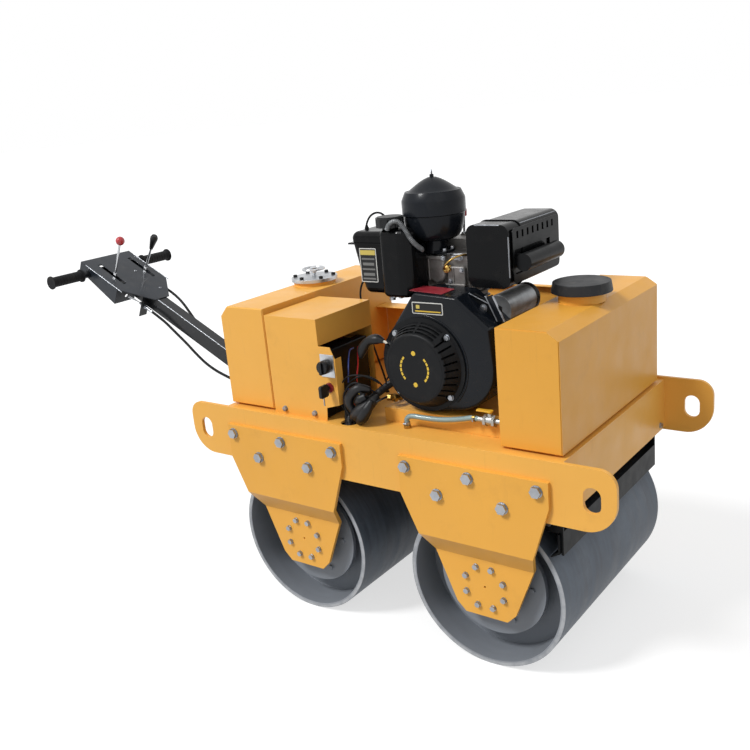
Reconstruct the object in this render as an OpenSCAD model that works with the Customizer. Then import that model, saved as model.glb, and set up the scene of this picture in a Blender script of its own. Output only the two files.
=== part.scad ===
// Walk-behind double drum roller with a diesel engine, a front water tank and a folding handle.
// +X points to the front, -Y is the side with the recoil starter, and the drums stand on z = 0.
// The origin lies on the ground below the middle of the whole machine, handle included.

/* [Drums] */
// Outside diameter of each drum
drum_d = 425; // [405:5:440]
// Width of each drum
drum_w = 600; // [590:1:620]
// Distance between the two drum axles
wheelbase = 580; // [560:5:600]

/* [Frame] */
// Height from the top of the drums to the side plates
frame_clear = 13; // [8:1:30]
// Gap between each end of a drum and its side plate
side_clear = 20; // [18:1:30]
// Thickness of the side plates
plate_t = 10; // [8:1:12]
// Height of the side plates
plate_h = 150; // [140:1:170]
// Length of the side plates with their lifting ears
plate_len = 1286; // [1260:2:1320]
// Width of the slot in each ear
slot_w = 41; // [30:1:50]
// Height of the slot in each ear
slot_h = 61; // [55:1:70]

/* [Drum brackets] */
// Thickness of the bent drum brackets
bracket_t = 10; // [8:1:12]
// Half of the bracket's width at its top
bracket_half = 200; // [190:1:204]

/* [Tanks] */
// Height of both tanks
tank_h = 279; // [240:1:300]
// Width of both tanks
tank_w = 585; // [560:1:600]
// Length of the front tank
front_tank_len = 154; // [140:1:156]
// Length of the rear tank
rear_tank_len = 160; // [150:1:161]
// Diameter of the front tank's lid
lid_d = 146; // [130:1:148]
// Diameter of the rear tank's filler flange
flange_d = 136; // [130:1:140]
// Outside diameter of the filler handwheel
handwheel_d = 69; // [60:1:75]

/* [Battery cover] */
// Length of the battery cover along the machine
cover_len = 177; // [172:1:180]
// Width of the battery cover across the machine
cover_w = 231; // [220:1:240]
// Height of the battery cover
cover_h = 271; // [262:1:280]
// Width of the switch tab on the cover
tab_w = 51; // [44:1:56]

/* [Engine] */
// Crankshaft's distance in front of the middle of the frame
crank_x = 116; // [112:1:118]
// Height of the crankshaft above the engine base
crank_h = 125; // [124:1:130]
// Height of the engine base above the deck
base_rise = 36; // [30:1:45]
// Diameter of the recoil starter's face
face_d = 160; // [150:1:165]
// Diameter of the recoil starter's flange
rim_d = 236; // [232:1:238]
// Rows of arc slots above the recoil starter's face
arc_rows = 4; // [3:1:4]
// Largest diameter of the air filter
filter_d = 157; // [140:1:158]
// Diameter of the exhaust outlet
outlet_d = 42; // [36:1:46]

/* [Handle] */
// Angle of the handle above the horizontal
handle_angle = 26.8; // [24:0.1:29]
// Distance from the handle's pivot to the handlebar
bar_u = 847; // [820:1:880]
// Width of the handle's arm
arm_w = 38; // [34:1:40]
// Depth of the handle's arm
arm_h = 50; // [46:1:52]
// Length of the handlebar
bar_len = 498; // [470:2:520]
// Diameter of the handlebar
bar_d = 25; // [22:1:28]
// Length of the grips
grip_len = 118; // [100:1:122]
// Width of the control box
box_w = 208; // [190:1:216]
// Length of the control box
box_len = 193; // [188:1:205]

/* [Hidden] */
$fn = 48;

// Overrun of every cut past the face that it opens
over = 1;
// Gap between pieces that are set close together
seat = 0.3;
// Radial clearance of a bolt in its hole
bolt_clear = 0.5;
// Radial clearance of a shaft that turns in a bearing
run_clear = 0.05;

// Plate thicknesses and smaller outline sizes
shell_t = 12;
disc_t = 12;
hub_plate_depth = 38;
journal_d = 60;
bearing_d = 100;
slot_inset = 56;
deck_drop = 6;
cross_t = 8;
bend_half = 155;
neck_half = 135;
bend_top = 129;
bend_bottom = 73;
foot_drop = 82;
axle_bolt_circle = 56;
bracket_drop = 48;
ear_bottom_r = 75;
recoil_h = 43;
arm_t = 3;
box_rear_h = 34;
box_front_h = 61;
grip_d = 34;
front_tank_x = 350;
rear_tank_x = 349;
disc_depth = 89;
side_slats = 9;
tank_wall = 3;
hub_plate_d = 290;
neck_d = 112;
ear_top_r = 40;
deck_t = 6;
muffler_len = 264;
foot_half = 82;

// Levels of the frame and the tanks
axle_z = drum_d / 2;
plate_low = drum_d + frame_clear;
frame_top = plate_low + plate_h;
deck_top = frame_top - deck_drop;
base_top = deck_top + base_rise;
base_half = 236;
base_x0 = -14;
base_x1 = 346;
tank_top = frame_top + tank_h;
front_x = wheelbase / 2;
rear_x = -wheelbase / 2;
drum_half = drum_w / 2;
gap_half = drum_half + side_clear;
plate_half = plate_len / 2;
tank_half = tank_w / 2;
crank_z = base_top + crank_h;
deck_low = deck_top - deck_t;

// Drum insides
shell_in_r = drum_d / 2 - shell_t;
hub_r = 70;
hub_plate_t = 12;
hub_stud_r = 110;
hub_stud_count = 6;
disc_y = drum_half - disc_depth;
hub_plate_y = drum_half - hub_plate_depth;
bearing_half = bearing_d / 2;
journal_r = journal_d / 2;
bearing_w = 30;
bearing_y = hub_plate_y - bearing_w;
weld_lap = 0.5;

// Axle stubs and drum motors
stub_flange_r = 72;
stub_flange_t = 10;
stub_in_y = drum_half - bracket_t - stub_flange_t;
stub_end_y = disc_y - disc_t - 6 * seat;
motor_case_r = 45;
motor_len = 90;
motor_port_r = 10;
motor_port_len = 12;
motor_port_spread = 18;

// Hexagon bolts: head size across corners, head height, shank radius
big_head_r = 14;
big_head_h = 9;
big_washer_r = 15;
big_washer_t = 2;
big_shank_r = 8;
axle_head_r = 7.5;
axle_head_h = 6;
axle_shank_r = 4;
small_head_r = 7;
small_head_h = 5;
small_washer_r = 8;
small_washer_t = 1.5;
small_shank_r = 4;

// Bolt places on the brackets, measured from each axle
bolt_row_half = 176;
bolt_pair_half = 88;
bolt_shift = -4;
bolt_row_drop = 72;
bolt_pair_drop = 130;
corner_rise_rear = 4;
corner_rise_front = 40;
foot_corner = 24;
bracket_y = gap_half + plate_t + bracket_t;
bracket_top = frame_top - bracket_drop;
bend_angle = atan((bracket_y - drum_half) / (bend_top - bend_bottom));
bend_shift = bracket_t * tan(bend_angle / 2);
centre_hole_r = 3;

// Cross members and the handle's lugs
cross_front_x = 505;
cross_rear_x = 504;
cross_low = 6;
lug_t = 8;
lug_gap = 2;
lug_y = arm_w / 2 + lug_gap;
lug_out = lug_y + lug_t;
lug_r = 26;
lug_reach = 68;
pivot_x = -(cross_rear_x + cross_t + lug_reach);
pivot_drop = 86;
pivot_z = frame_top - pivot_drop;
pivot_pin_r = 10;
pivot_head_r = 15;
pivot_head_t = 5;
stop_u = 34;
stop_len = 28;
stop_t = 8;
stop_w = arm_h / 2 + seat + stop_t;
beam_x = 60;
beam_w = 40;
corner_bolt_inset = 22;

// Deck cut-outs
slot_x0 = 66;
slot_x1 = 172;
slot_y0 = 56;
slot_y1 = 100;
loom_hole_x = -92;
loom_hole_y = 284;
loom_hole_r = 24.7;
hose_end_x = 72;
hose_end_y = 262;

// Scrapers and spray pipes, measured from each axle
scraper_x = 208;
scraper_leg = 60;
scraper_flange = 42;
scraper_t = 6;
scraper_top = 190;
scraper_half = drum_half - 10;
scraper_tab_w = 26;
scraper_tab_h = 40;
blade_t = 5;
blade_gap = 2;
blade_angle = 35;
blade_half = drum_half - 4;
pipe_r = 11;
pipe_half = drum_half + 2;
pipe_tab_w = 52;
pipe_x = 176;
pipe_z = 214;
pipe_hole_r = 2;
pipe_holes = 9;

// Tanks
tank_foot_w = 12;
front_chamfer_x = 30;
front_chamfer_z = 20;
rear_chamfer_x = 29;
rear_chamfer_z = 31;
lip = 2;
neck_h = 40;
lid_h = 25;
lid_wall = 4;
neck_wall = 3;
flange_t = 10;
flange_neck_h = 11;
flange_y = 26;
screw_circle = 57;
flange_screws = 6;
flange_bore_r = 12;
handwheel_h = 22;
wheel_tube_r = 3.5;
handwheel_hub_r = 9;
wheel_stem_r = 6;
front_mid_x = front_tank_x + front_tank_len / 2;
rear_mid_x = -(rear_tank_x + rear_tank_len / 2);

// Water valve, its handle and the hose
valve_inset = 42.5;
valve_y = tank_half - valve_inset;
valve_rise = 41;
valve_r = 11;
valve_hex_r = 15;
valve_len = 30;
nipple_len = 32;
tail_r = 7;
tail_len = 16;
hose_r = 6.5;
valve_stem_r = 5;
valve_stem_h = 14;
valve_lever_len = 34;
valve_lever_w = 12;
valve_lever_t = 4;
barb_r = 9;
barb_h = 8;
clamp_t = 2;
clamp_w = 8;

// Battery and its cover
cover_y = 300;
cover_t = 2;
cover_x0 = -(rear_tank_x - 12);
lip_h = 70;
tab_drop = 70;
tab_slope = 30;
tab_bottom_rise = 48;
tab_fold = 26;
battery_len = 130;
battery_w = 196;
battery_h = 165;
battery_lid_h = 24;
battery_inset = 14;
terminal_r = 9;
terminal_h = 16;
switch_drop = 119;
key_drop = 177;
switch_tab_share = 0.5;
main_knob_r = 15;
main_knob_len = 18;
main_knob_bar_w = 9;
switch_hole_r = 8;
switch_stem_len = 14;
key_body_r = 11;
key_body_len = 16;
key_collar_r = 13;
key_collar_len = 5;
key_slot_w = 3;
key_len = 26;
key_w = 20;
cover_bolt_rise = 16;
cover_bolt_x0 = 38;
cover_bolt_x1 = 142;

// Engine castings
case_len = 184;
case_y0 = -125;
case_y1 = 45;
case_h = 186;
case_top = case_h - crank_h;
case_foot_w = 16;
case_foot_t = 14;
case_corner_r = 26;
cover_r = 74;
crank_r = 14;
crank_y1 = 121;
coupling_r = 36;
coupling_len = 23;
pulley_r = 48;
pulley_y0 = 62;
pulley_w = 28;
pulley_y1 = pulley_y0 + pulley_w;
groove_y = pulley_y0 + pulley_w / 2;
groove_depth = 8;
groove_w = 10;
cylinder_half = 60;
cylinder_y0 = -112;
cylinder_y1 = 12;
fin_count = 7;
fin_t = 4;
fin_depth = 12;
cylinder_h = 98;
head_h = 92;
head_x0 = 72;
head_x1 = 68;
port_r = 20;
port_y = -36;
rocker_h = 28;
rocker_inset = 10;
rocker_y0 = -70;
rocker_r = 18;
rocker_nut_r = 6;
rocker_nut_h = 5;

// Blower housing, recoil starter and flywheel
blower_y0 = 232;
blower_wall = 3;
blower_round = 12;
blower_r = 121;
blower_bulge_x = 80;
blower_bulge_z = 5;
blower_bulge_r = 114;
blower_top_z = 163;
blower_top_x0 = -11;
blower_top_x1 = 92;
blower_top_r = 14;
blower_shoulder_x = 172;
blower_shoulder_z = 92;
recoil_wall = 3;
rim_t = 4;
rim_y = blower_y0 + rim_t;
edge_r = 8;
arc_start = 52;
arc_span = 76;
arc_cols = 2;
arc_gap = 4;
slat_w = 5;
slat_pitch = 11;
recoil_hub_r = 30;
recoil_bolt_r = 105;
flywheel_r = 98;
flywheel_t = 22;
fan_blades = 12;
blade_h = 22;
blade_len = 30;
blade_w = 4;
fan_gap = 8;
cup_r = 42;
grip_r = 14;
rope_r = 3;
rope_guide_r = 9;
rope_x = 87;
rope_y = 256;
rope_z = 52.5;

// Fuel tank
fuel_left = 226;
fuel_right = 84;
fuel_taper = 28;
fuel_bottom = 158;
fuel_h = 156;
fuel_top = fuel_bottom + fuel_h;
fuel_y0 = 190;
fuel_y1 = -10;
fuel_r = 18;
fuel_wall = 2.5;
lobe_left = 121;
lobe_right = 32;
lobe_y0 = 216;
lobe_y1 = 128;
lobe_r = 16;
lobe_round = 34;
lobe_drop = 2;
lobe_rise = 10;
lobe_foot = 56;
lobe_plan = concat(
  [[lobe_r - lobe_left, lobe_r - lobe_y0]],
  [for (a = [-90 : 30 : 0]) [(lobe_round - lobe_r) * cos(a) - lobe_right - lobe_round,
    (lobe_round - lobe_r) * sin(a) + lobe_round - lobe_y0]],
  [[-lobe_right - lobe_r, -lobe_y1 - lobe_r], [lobe_r - lobe_left, -lobe_y1 - lobe_r]]
);
seam_h = 4;
seam_out = 4;
seam_drop = 31;
neck_x = -100;
neck_y = 186;
fuel_neck_r = 20;
fuel_neck_h = 28;
fuel_cap_rise = 14;
fuel_cap_r = 35;
fuel_cap_h = 25;
cap_grooves = 12;
cap_groove_r = 4;

// Air filter
filter_x = -26;
filter_y = -100;
filter_r = filter_d / 2;
filter_rise = 282;
body_h = 65;
lid_top_h = 90;
intake_r = 26;
intake_flange = [84, 50, 12];
intake_flange_t = 7;
// Outlines of the filter's body and lid, as shares of its radius and of their heights
body_shares = [[0.64, 0], [0.82, 0.26], [0.92, 0.63], [0.96, 0.9], [0.96, 1]];
lid_shares = [
  [0.96, 0], [0.96, 0.06], [1, 0.11], [1, 0.5], [0.96, 0.62], [0.88, 0.69], [0.8, 0.7], [0.66, 0.79],
  [0.5, 0.87], [0.32, 0.94], [0.12, 1]
];
wing_h = 16;
wing_r = 5;
wing_span = 15;
wing_t = 3;

// Muffler and its guard
muffler_x0 = 78;
muffler_x1 = 192;
muffler_y0 = -130;
muffler_y1 = muffler_y0 + muffler_len;
muffler_drop = 173;
muffler_h = 151;
outlet_share = 0.4;
muffler_r = 22;
muffler_seam = 62;
muffler_seam_w = 4;
guard_gap = 3;
guard_t = 2;
louvres = 8;
louvre_w = 9;
louvre_h = 34;
window_h = 58;
window_len = 140;
outlet_wall = 2;
port_dy = 20;

// Starter motor
starter_dx = 152;
starter_dz = 120;
starter_y0 = -125;
starter_len = 150;
starter_r = 36;
starter_cap_r = 37;
starter_cap_len = 16;
solenoid_r = 15;
solenoid_len = 66;
solenoid_dz = 52;
starter_arm_t = 10;
starter_arm_w = 34;

// Engine levers
speed_x = -106;
speed_z = -48;
speed_y = -140;
speed_t = 4;
speed_len = 54;
speed_w = 14;
speed_pin_r = 4;
decomp_dx = 0;
decomp_y = -8;
decomp_r = 3;
decomp_len = 66;
decomp_knob_r = 7;
decomp_knob_h = 16;
decomp_hub_r = 7;
decomp_hub_h = 8;

// Belt drive, pump and exciter
exciter_z = 455;
exciter_r = 52;
exciter_y0 = -180;
exciter_y1 = 48;
exciter_wall = 8;
ex_rim_r = 64;
ex_rim_t = 8;
exciter_shaft_r = 15;
weight_r = 38;
weight_w = 60;
hanger_t = 8;
hanger_w = 40;
belt_w = 9;
belt_t = 8;
guard_box_r = 64;
guard_box_t = 2;
guard_box_y0 = 52;
guard_box_y1 = 96;
pump_r = 46;
pump_y0 = crank_y1 + seat;
pump_len = 96;
pump_end_r = 36;
pump_end_len = 18;
pump_foot_w = 26;
pump_foot_t = 10;
pump_port_r = 11;
pump_port_h = 14;

// Handle, in its own frame: u runs from the pivot to the operator, w stands up from the arm
box_top_w = arm_h / 2 + arm_t;
box_half = box_w / 2;
box_tail = 45;
box_rear_u = bar_u + box_tail;
box_front_u = box_rear_u - box_len;
arm_start = 25;
arm_pin_boss_r = 17;
lever_u = 768;
lever_w = -17;
lever_y = 57;
lever_pin_r = 5;
lever_hub_r = 9;
lever_hub_len = 14;
lever_rod_r = 4;
lever_foot = 18;
lever_bar_w = 12;
lever_bar_t = 5;
travel_tilt = 0.5;
vibration_tilt = -7;
ball_r = 15;
knob_top_r = 13;
knob_foot_r = 6;
knob_h = 55;
knob_shares = [0.72, 0.86, 0.7];
cut_w = 14;
cut_rear = 42;
cut_len = 136;
grip_flange_r = 22;
grip_flange_t = 4;
grip_rings = 9;
bar_wall = 2.5;
plate_u = 630;
cable_plate_half = 50;
cable_plate_h = 57;
adjuster_r = 5;
adjuster_nut_r = 8;
cable_r = 4.5;

valve_clamp_w = 7;
valve_stem_x = front_tank_x - nipple_len - valve_len / 2;
flange_lip = 6;
screw_head_r = 6;
screw_head_h = 7;
tab_corner_share = 0.26;
tab_foot_share = 0.16;
tab_foot_rise = 36;
switch_x = cover_x0 + cover_len + tab_w * switch_tab_share;
switch_z = deck_top + cover_h - switch_drop;
key_z = deck_top + cover_h - key_drop;
legend_w = 44;
legend_h = 60;
key_stem_r = 4;
harness_r = 10;
harness_loop_r = 6;
side_lip = 6;
head_y0 = -108;
decomp_lean = 8;
speed_rise = 24;
blower_rear = 125;
arc_slot_share = 0.55;
slat_y = 4;
slat_r = 84;
flywheel_y = 200;
outlet_r = outlet_d / 2;
outlet_z = muffler_drop + muffler_h * outlet_share;
outlet_y0 = -108;
outlet_x = muffler_x1 + guard_gap + outlet_r;
outlet_reach = 158;
louvre_pitch = 26;
belt_drop = crank_z - exciter_z;
arm_end_u = 872;
bar_w = 3;
adjuster_y = 35;
adjuster_w = -20;
adjuster_u0 = 588;
adjuster_u1 = 652;
shoulder_u = 690;
nose_u = 590;
nose_half = 30;
lever_far_y = 70;
wire_hole_r = 6;
wire_hole_w = -12;
lever_bar_h = 58;
ball_h = 180;
knob_foot_h = 135;
grip_route = [
  [-99, -256, 56.5], [-111, -256, 59.5], [-123, -256, 60], [-136, -256, 57.5], [-148, -256, 52],
  [-158, -256, 43], [-166, -256, 32], [-171, -256, 20], [-174, -256, 7]
];
rope_start = [-rope_x, -rope_y, rope_z];

// Reach of the whole machine behind and in front of the frame's middle
handle_reach = -pivot_x + box_rear_u * cos(handle_angle) - (box_top_w - box_rear_h) * sin(handle_angle);
mid_x = (handle_reach - plate_half) / 2;

// Routes of the cords that the machine holds all the way, in the frame of the drums
hose_route = [
  [271.5, -valve_y, 629], [262, -valve_y, 629], [250, -valve_y, 628.5], [225, -252, 623], [190, -254, 617], [155, -256, 614],
  [120, -258, 614], [95, -260, 615], [80, -261, 613], [72, -262, 605], [72, -262, 597], [72, -262, 590.3]
];
harness_route = [
  [22.9, -106, 670], [12, -106, 670], [-4, -112, 670], [-14, -135, 670], [-17, -170, 669],
  [-18, -200, 667],
  [-20, -230, 662], [-30, -254, 650], [-52, -270, 632], [-76, -280, 612], [-90, -284, 594],
  [-92, -284, 580], [-92, -284, 566]
];
harness_loop_route = [
  [-176, -252, 706], [-150, -254, 690], [-130, -260, 668], [-120, -264, 640], [-113, -269, 614],
  [-110, -275, 592], [-109, -277, 580], [-109, -277, 566]
];
near_cable_route = [
  [-1113.2, -35, 748.6], [-1101, -35, 742.4], [-1080, -35, 731], [-1056, -34, 716], [-1012, -34, 684],
  [-966, -34, 650], [-928, -34, 619], [-888, -34, 591], [-845, -35, 571], [-801, -37, 558],
  [-760, -40, 549], [-700, -45, 538], [-640, -51, 530], [-600, -55, 526],
  [-560, -58, 523], [-530, -58, 522], [-512.5, -58, 522]
];
far_cable_route = [
  [-1198.6, 70, 825.2], [-1186.4, 70, 820.2], [-1147.6, 68, 806.7], [-1111, 63, 792.7], [-1078, 58, 776],
  [-1050, 53, 757], [-1026, 49, 735.5], [-997, 45, 707], [-968, 41, 677], [-938, 39, 647],
  [-900, 37, 618], [-860, 36, 594], [-820, 36, 576], [-780, 38, 563], [-740, 41, 553],
  [-680, 46, 541], [-620, 53, 531], [-580, 57, 525], [-550, 58, 522.5],
  [-530, 58, 522], [-512.5, 58, 522]
];

// Moves the frame of the drums to the middle of the whole machine
module in_frame() {
  at([mid_x, 0, 0]) children();
}

// Handle's frame, with the arm along -X
module on_handle() {
  in_frame() at([pivot_x, 0, pivot_z]) rotate([0, handle_angle, 0]) children();
}

module at(p) {
  translate(p) children();
}

module both_sides() {
  children();
  mirror([0, 1, 0]) children();
}

// Cylinder along Y from y0 to y1
module y_rod(r, y0, y1, x, z) {
  at([x, y0, z]) rotate([-90, 0, 0]) cylinder(r = r, h = y1 - y0);
}

// Ring along Y from y0 to y1
module y_ring(r, bore, y0, y1, x, z) {
  difference() {
    y_rod(r, y0, y1, x, z);
    y_rod(bore, y0 - over, y1 + over, x, z);
  }
}

// Cylinder along X from x0 to x1
module x_rod(r, x0, x1, y, z) {
  at([x0, y, z]) rotate([0, 90, 0]) cylinder(r = r, h = x1 - x0);
}

// Extrudes an outline drawn in x and z from y0 to y1
module upright(y0, y1) {
  at([0, y1, 0]) rotate([90, 0, 0]) linear_extrude(y1 - y0) children();
}

// Block between two corners
module block(low, high) {
  at(low) cube(high - low);
}

// Rectangle with round corners, its middle at the origin
module round_rect(w, h, r) {
  square([w - 2 * r, h], center = true);
  square([w, h - 2 * r], center = true);
  for (sx = [-1, 1], sz = [-1, 1]) at([sx * (w / 2 - r), sz * (h / 2 - r)]) circle(r = r);
}

// Block whose edges are all round, its low edge on the left moved in by lean
module soft_block(low, high, r, lean) {
  hull()
    for (x = [0, 1], y = [low[1] + r, high[1] - r], z = [0, 1])
      at([x > 0 ? high[0] - r : low[0] + r + lean * (1 - z), y, z > 0 ? high[2] - r : low[2] + r])
        sphere(r = r, $fn = 20);
}

// Bolt along -Z with its head and washer standing on z = 0
module hex_bolt(head_r, head_h, washer_r, washer_t, shank_r, shank_len) {
  cylinder(r = washer_r, h = washer_t);
  at([0, 0, washer_t]) cylinder(r = head_r, h = head_h, $fn = 6);
  at([0, 0, -shank_len]) cylinder(r = shank_r, h = shank_len);
}

// Rod between two points
module rod(p, q, r) {
  d = q - p;
  len = norm(d);
  at(p) rotate([0, acos(d[2] / len), atan2(d[1], d[0])]) cylinder(r = r, h = len);
}

function unit(v) = v / norm(v);
function catmull(a, b, c, d, t) =
  0.5 * (2 * b + (c - a) * t + (2 * a - 5 * b + 4 * c - d) * t * t + (3 * b - a - 3 * c + d) * t * t * t);
function smooth(p, k) = [
  for (i = [0 : len(p) - 2], j = [0 : k - 1])
    catmull(p[max(i - 1, 0)], p[i], p[i + 1], p[min(i + 2, len(p) - 1)], j / k),
  p[len(p) - 1]
];
function heading(p, i) = unit(p[min(i + 1, len(p) - 1)] - p[max(i - 1, 0)]);
function across(n, t) = unit(n - (n * t) * t);

// Round cord swept along a route, with a ring of triangles at every point
module cord(route, r, sides) {
  count = len(route);
  first = across(abs(heading(route, 0)[2]) < 0.9 ? [0, 0, 1] : [0, 1, 0], heading(route, 0));
  normals = [for (i = 0, n = first; i < count; i = i + 1, n = across(n, heading(route, min(i,
    count - 1)))) n];
  points = [
    for (i = [0 : count - 1], j = [0 : sides - 1])
      let (n = normals[i], b = cross(heading(route, i), n), a = 360 * j / sides)
        route[i] + r * (cos(a) * n + sin(a) * b)
  ];
  walls = [
    for (i = [0 : count - 2], j = [0 : sides - 1])
      let (a = i * sides + j, b = i * sides + (j + 1) % sides)
        each [[a, a + sides, b], [b, a + sides, b + sides]]
  ];
  start = [for (j = [1 : sides - 2]) [0, j, j + 1]];
  last = (count - 1) * sides;
  end = [for (j = [1 : sides - 2]) [last, last + j + 1, last + j]];
  polyhedron(points = points, faces = concat(walls, start, end), convexity = 6);
}

// Side plate's outline: square shoulders joined by round ears with an upright slot in each
module plate_outline() {
  top = frame_top - ear_top_r;
  low = plate_low + ear_bottom_r;
  difference() {
    union() {
      at([-plate_half + ear_bottom_r, plate_low])
        square([plate_len - 2 * ear_bottom_r, plate_h]);
      at([-plate_half, low]) square([plate_len, top - low]);
      at([-plate_half + ear_top_r, low]) square([plate_len - 2 * ear_top_r, frame_top - low]);
      for (s = [-1, 1]) {
        at([s * (plate_half - ear_top_r), top]) circle(r = ear_top_r);
        at([s * (plate_half - ear_bottom_r), low]) circle(r = ear_bottom_r);
      }
    }
    for (s = [-1, 1]) at([s * (plate_half - slot_inset), (frame_top + plate_low) / 2])
      ear_slot();
  }
}

module ear_slot() {
  reach = (slot_h - slot_w) / 2;
  square([slot_w, 2 * reach], center = true);
  for (s = [-1, 1]) at([0, s * reach]) circle(r = slot_w / 2);
}

// Places a child at each of the five frame bolts of a bracket
module at_frame_bolts() {
  for (x = [-bolt_row_half, 0, bolt_row_half]) at([x + bolt_shift, frame_top - bolt_row_drop])
    children();
  for (x = [-bolt_pair_half, bolt_pair_half])
    at([x + bolt_shift, frame_top - bolt_pair_drop]) children();
}

module at_axle_bolts() {
  for (k = [0 : 7]) rotate(360 * (k + 0.5) / 8) at([axle_bolt_circle, 0]) children();
}

module side_plates() color("#E2A33B") in_frame() both_sides() upright(gap_half, gap_half + plate_t)
  difference() {
    plate_outline();
    for (x = [rear_x, front_x]) at([x, 0]) at_frame_bolts() circle(r = big_shank_r + bolt_clear);
  }

// Cross plates, inner beams and the lugs and stop that carry the handle
module cross_members() color("#DFA038") in_frame() {
  low = plate_low + cross_low;
  high = deck_low;
  for (x = [-beam_x, beam_x]) block([x - cross_t / 2, -gap_half, high - beam_w], [x + cross_t / 2,
    gap_half, high]);
  difference() {
    union() {
      block([cross_front_x, -gap_half, low], [cross_front_x + cross_t, gap_half, high]);
      block([-cross_rear_x - cross_t, -gap_half, low], [-cross_rear_x, gap_half, high]);
      both_sides() upright(lug_y, lug_out) {
        at([pivot_x, pivot_z]) circle(r = lug_r);
        at([pivot_x, pivot_z - lug_r]) square([lug_reach, 2 * lug_r]);
        at([pivot_x, pivot_z]) rotate(-handle_angle) at([-stop_u - stop_len, -stop_w])
          square([stop_u + stop_len, stop_w]);
      }
      at([pivot_x, 0, pivot_z]) rotate([0, handle_angle, 0])
        block([-stop_u - stop_len, -lug_y, -stop_w], [-stop_u, lug_y, stop_t - stop_w]);
    }
    y_rod(pivot_pin_r + run_clear, -gap_half, gap_half, pivot_x, pivot_z);
    at_corner_bolts() small_hole(cross_t + over);
  }
}

module deck_plate() color("#E2A33B") in_frame() difference() {
  block([-cross_rear_x - cross_t, -gap_half, deck_low], [cross_front_x + cross_t, gap_half, deck_top]);
  block([slot_x0, slot_y0, deck_low - over],
        [slot_x1, slot_y1, deck_top + over]);
  at([loom_hole_x, -loom_hole_y, deck_low - over])
    cylinder(r = loom_hole_r, h = deck_t + 2 * over);
  at([hose_end_x, -hose_end_y, deck_low - over])
    cylinder(r = hose_r - clamp_t, h = deck_t + 2 * over);
}

// Raised bent plate under the engine
module engine_base() color("#E2A33B") in_frame() difference() {
  block([base_x0, -base_half, deck_top], [base_x1, base_half, base_top]);
  block([base_x0 + deck_t, -base_half + deck_t, deck_top - over],
        [base_x1 + over, base_half - deck_t, base_top - deck_t]);
  block([slot_x0, slot_y0, base_top - deck_t - over], [slot_x1, slot_y1, base_top + over]);
}

// Outline of a drum bracket seen from the side, its axle at x = 0
module bracket_outline() {
  low = axle_z - foot_drop;
  polygon([
    [-bracket_half, bracket_top], [bracket_half, bracket_top],
    [bracket_half, plate_low + corner_rise_front], [bend_half, axle_z + bend_top],
    [neck_half, axle_z + bend_bottom], [foot_half, low + foot_corner], [foot_half - foot_corner, low],
    [foot_corner - foot_half, low], [-foot_half, low + foot_corner], [-neck_half, axle_z + bend_bottom],
    [-bend_half, axle_z + bend_top], [-bracket_half, plate_low + corner_rise_rear]
  ]);
}

// Section of the bent plate across the machine
module bracket_section() {
  top = bracket_top + over;
  low = axle_z - foot_drop - over;
  inner = bracket_y - bracket_t;
  foot = drum_half - bracket_t;
  polygon([
    [inner, top], [bracket_y, top], [bracket_y, axle_z + bend_top], [drum_half, axle_z + bend_bottom],
    [drum_half, low], [foot, low], [foot, axle_z + bend_bottom + bend_shift],
    [inner, axle_z + bend_top + bend_shift]
  ]);
}

module drum_bracket() difference() {
  intersection() {
    upright(0, bracket_y + over) bracket_outline();
    at([-bracket_half - over, 0, 0]) rotate([90, 0, 90])
      linear_extrude(2 * (bracket_half + over)) bracket_section();
  }
  upright(bracket_y - bracket_t - over, bracket_y + over) at_frame_bolts()
    circle(r = big_shank_r + bolt_clear);
  upright(drum_half - bracket_t - over, drum_half + over) at([0, axle_z]) {
    at_axle_bolts() circle(r = axle_shank_r + bolt_clear);
    circle(r = centre_hole_r);
  }
}

module drum_brackets() color("#E2A33B") in_frame()
  for (x = [rear_x, front_x]) at([x, 0, 0]) both_sides() drum_bracket();

module bracket_bolts() color("#B9BCC0") in_frame() for (x = [rear_x, front_x]) at([x, 0, 0])
  both_sides() {
    at([0, bracket_y, 0]) rotate([90, 0, 0]) at_frame_bolts() rotate([180, 0, 0])
      hex_bolt(big_head_r, big_head_h, big_washer_r, big_washer_t, big_shank_r,
        bracket_t + plate_t + big_head_h);
    at([0, drum_half, axle_z]) rotate([90, 0, 0]) at_axle_bolts() rotate([180, 0, 0])
      hex_bolt(axle_head_r, axle_head_h, axle_head_r + seat, big_washer_t, axle_shank_r,
        bracket_t + stub_flange_t);
  }

// Flange that is bolted inside a bracket's foot
module axle_flange() difference() {
  y_rod(stub_flange_r, stub_in_y, drum_half - bracket_t, 0, axle_z);
  upright(0, drum_half) at([0, axle_z]) at_axle_bolts() circle(r = axle_shank_r + bolt_clear);
}

module axle_stubs() color("#8F9398") in_frame() for (x = [rear_x, front_x]) at([x, 0, 0])
  mirror([0, 1, 0]) union() {
    axle_flange();
    y_rod(journal_r, stub_end_y, stub_in_y, 0, axle_z);
  }

module drum_motors() color("#4A4E52") in_frame() for (x = [rear_x, front_x]) at([x, 0, 0])
  union() {
  axle_flange();
  y_rod(journal_r, stub_end_y, stub_in_y, 0, axle_z);
  y_rod(motor_case_r, stub_end_y - motor_len, stub_end_y, 0, axle_z);
  for (s = [-1, 1])
    y_rod(motor_port_r, stub_end_y - motor_len - motor_port_len, stub_end_y,
      s * motor_port_spread, axle_z);
}

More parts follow.
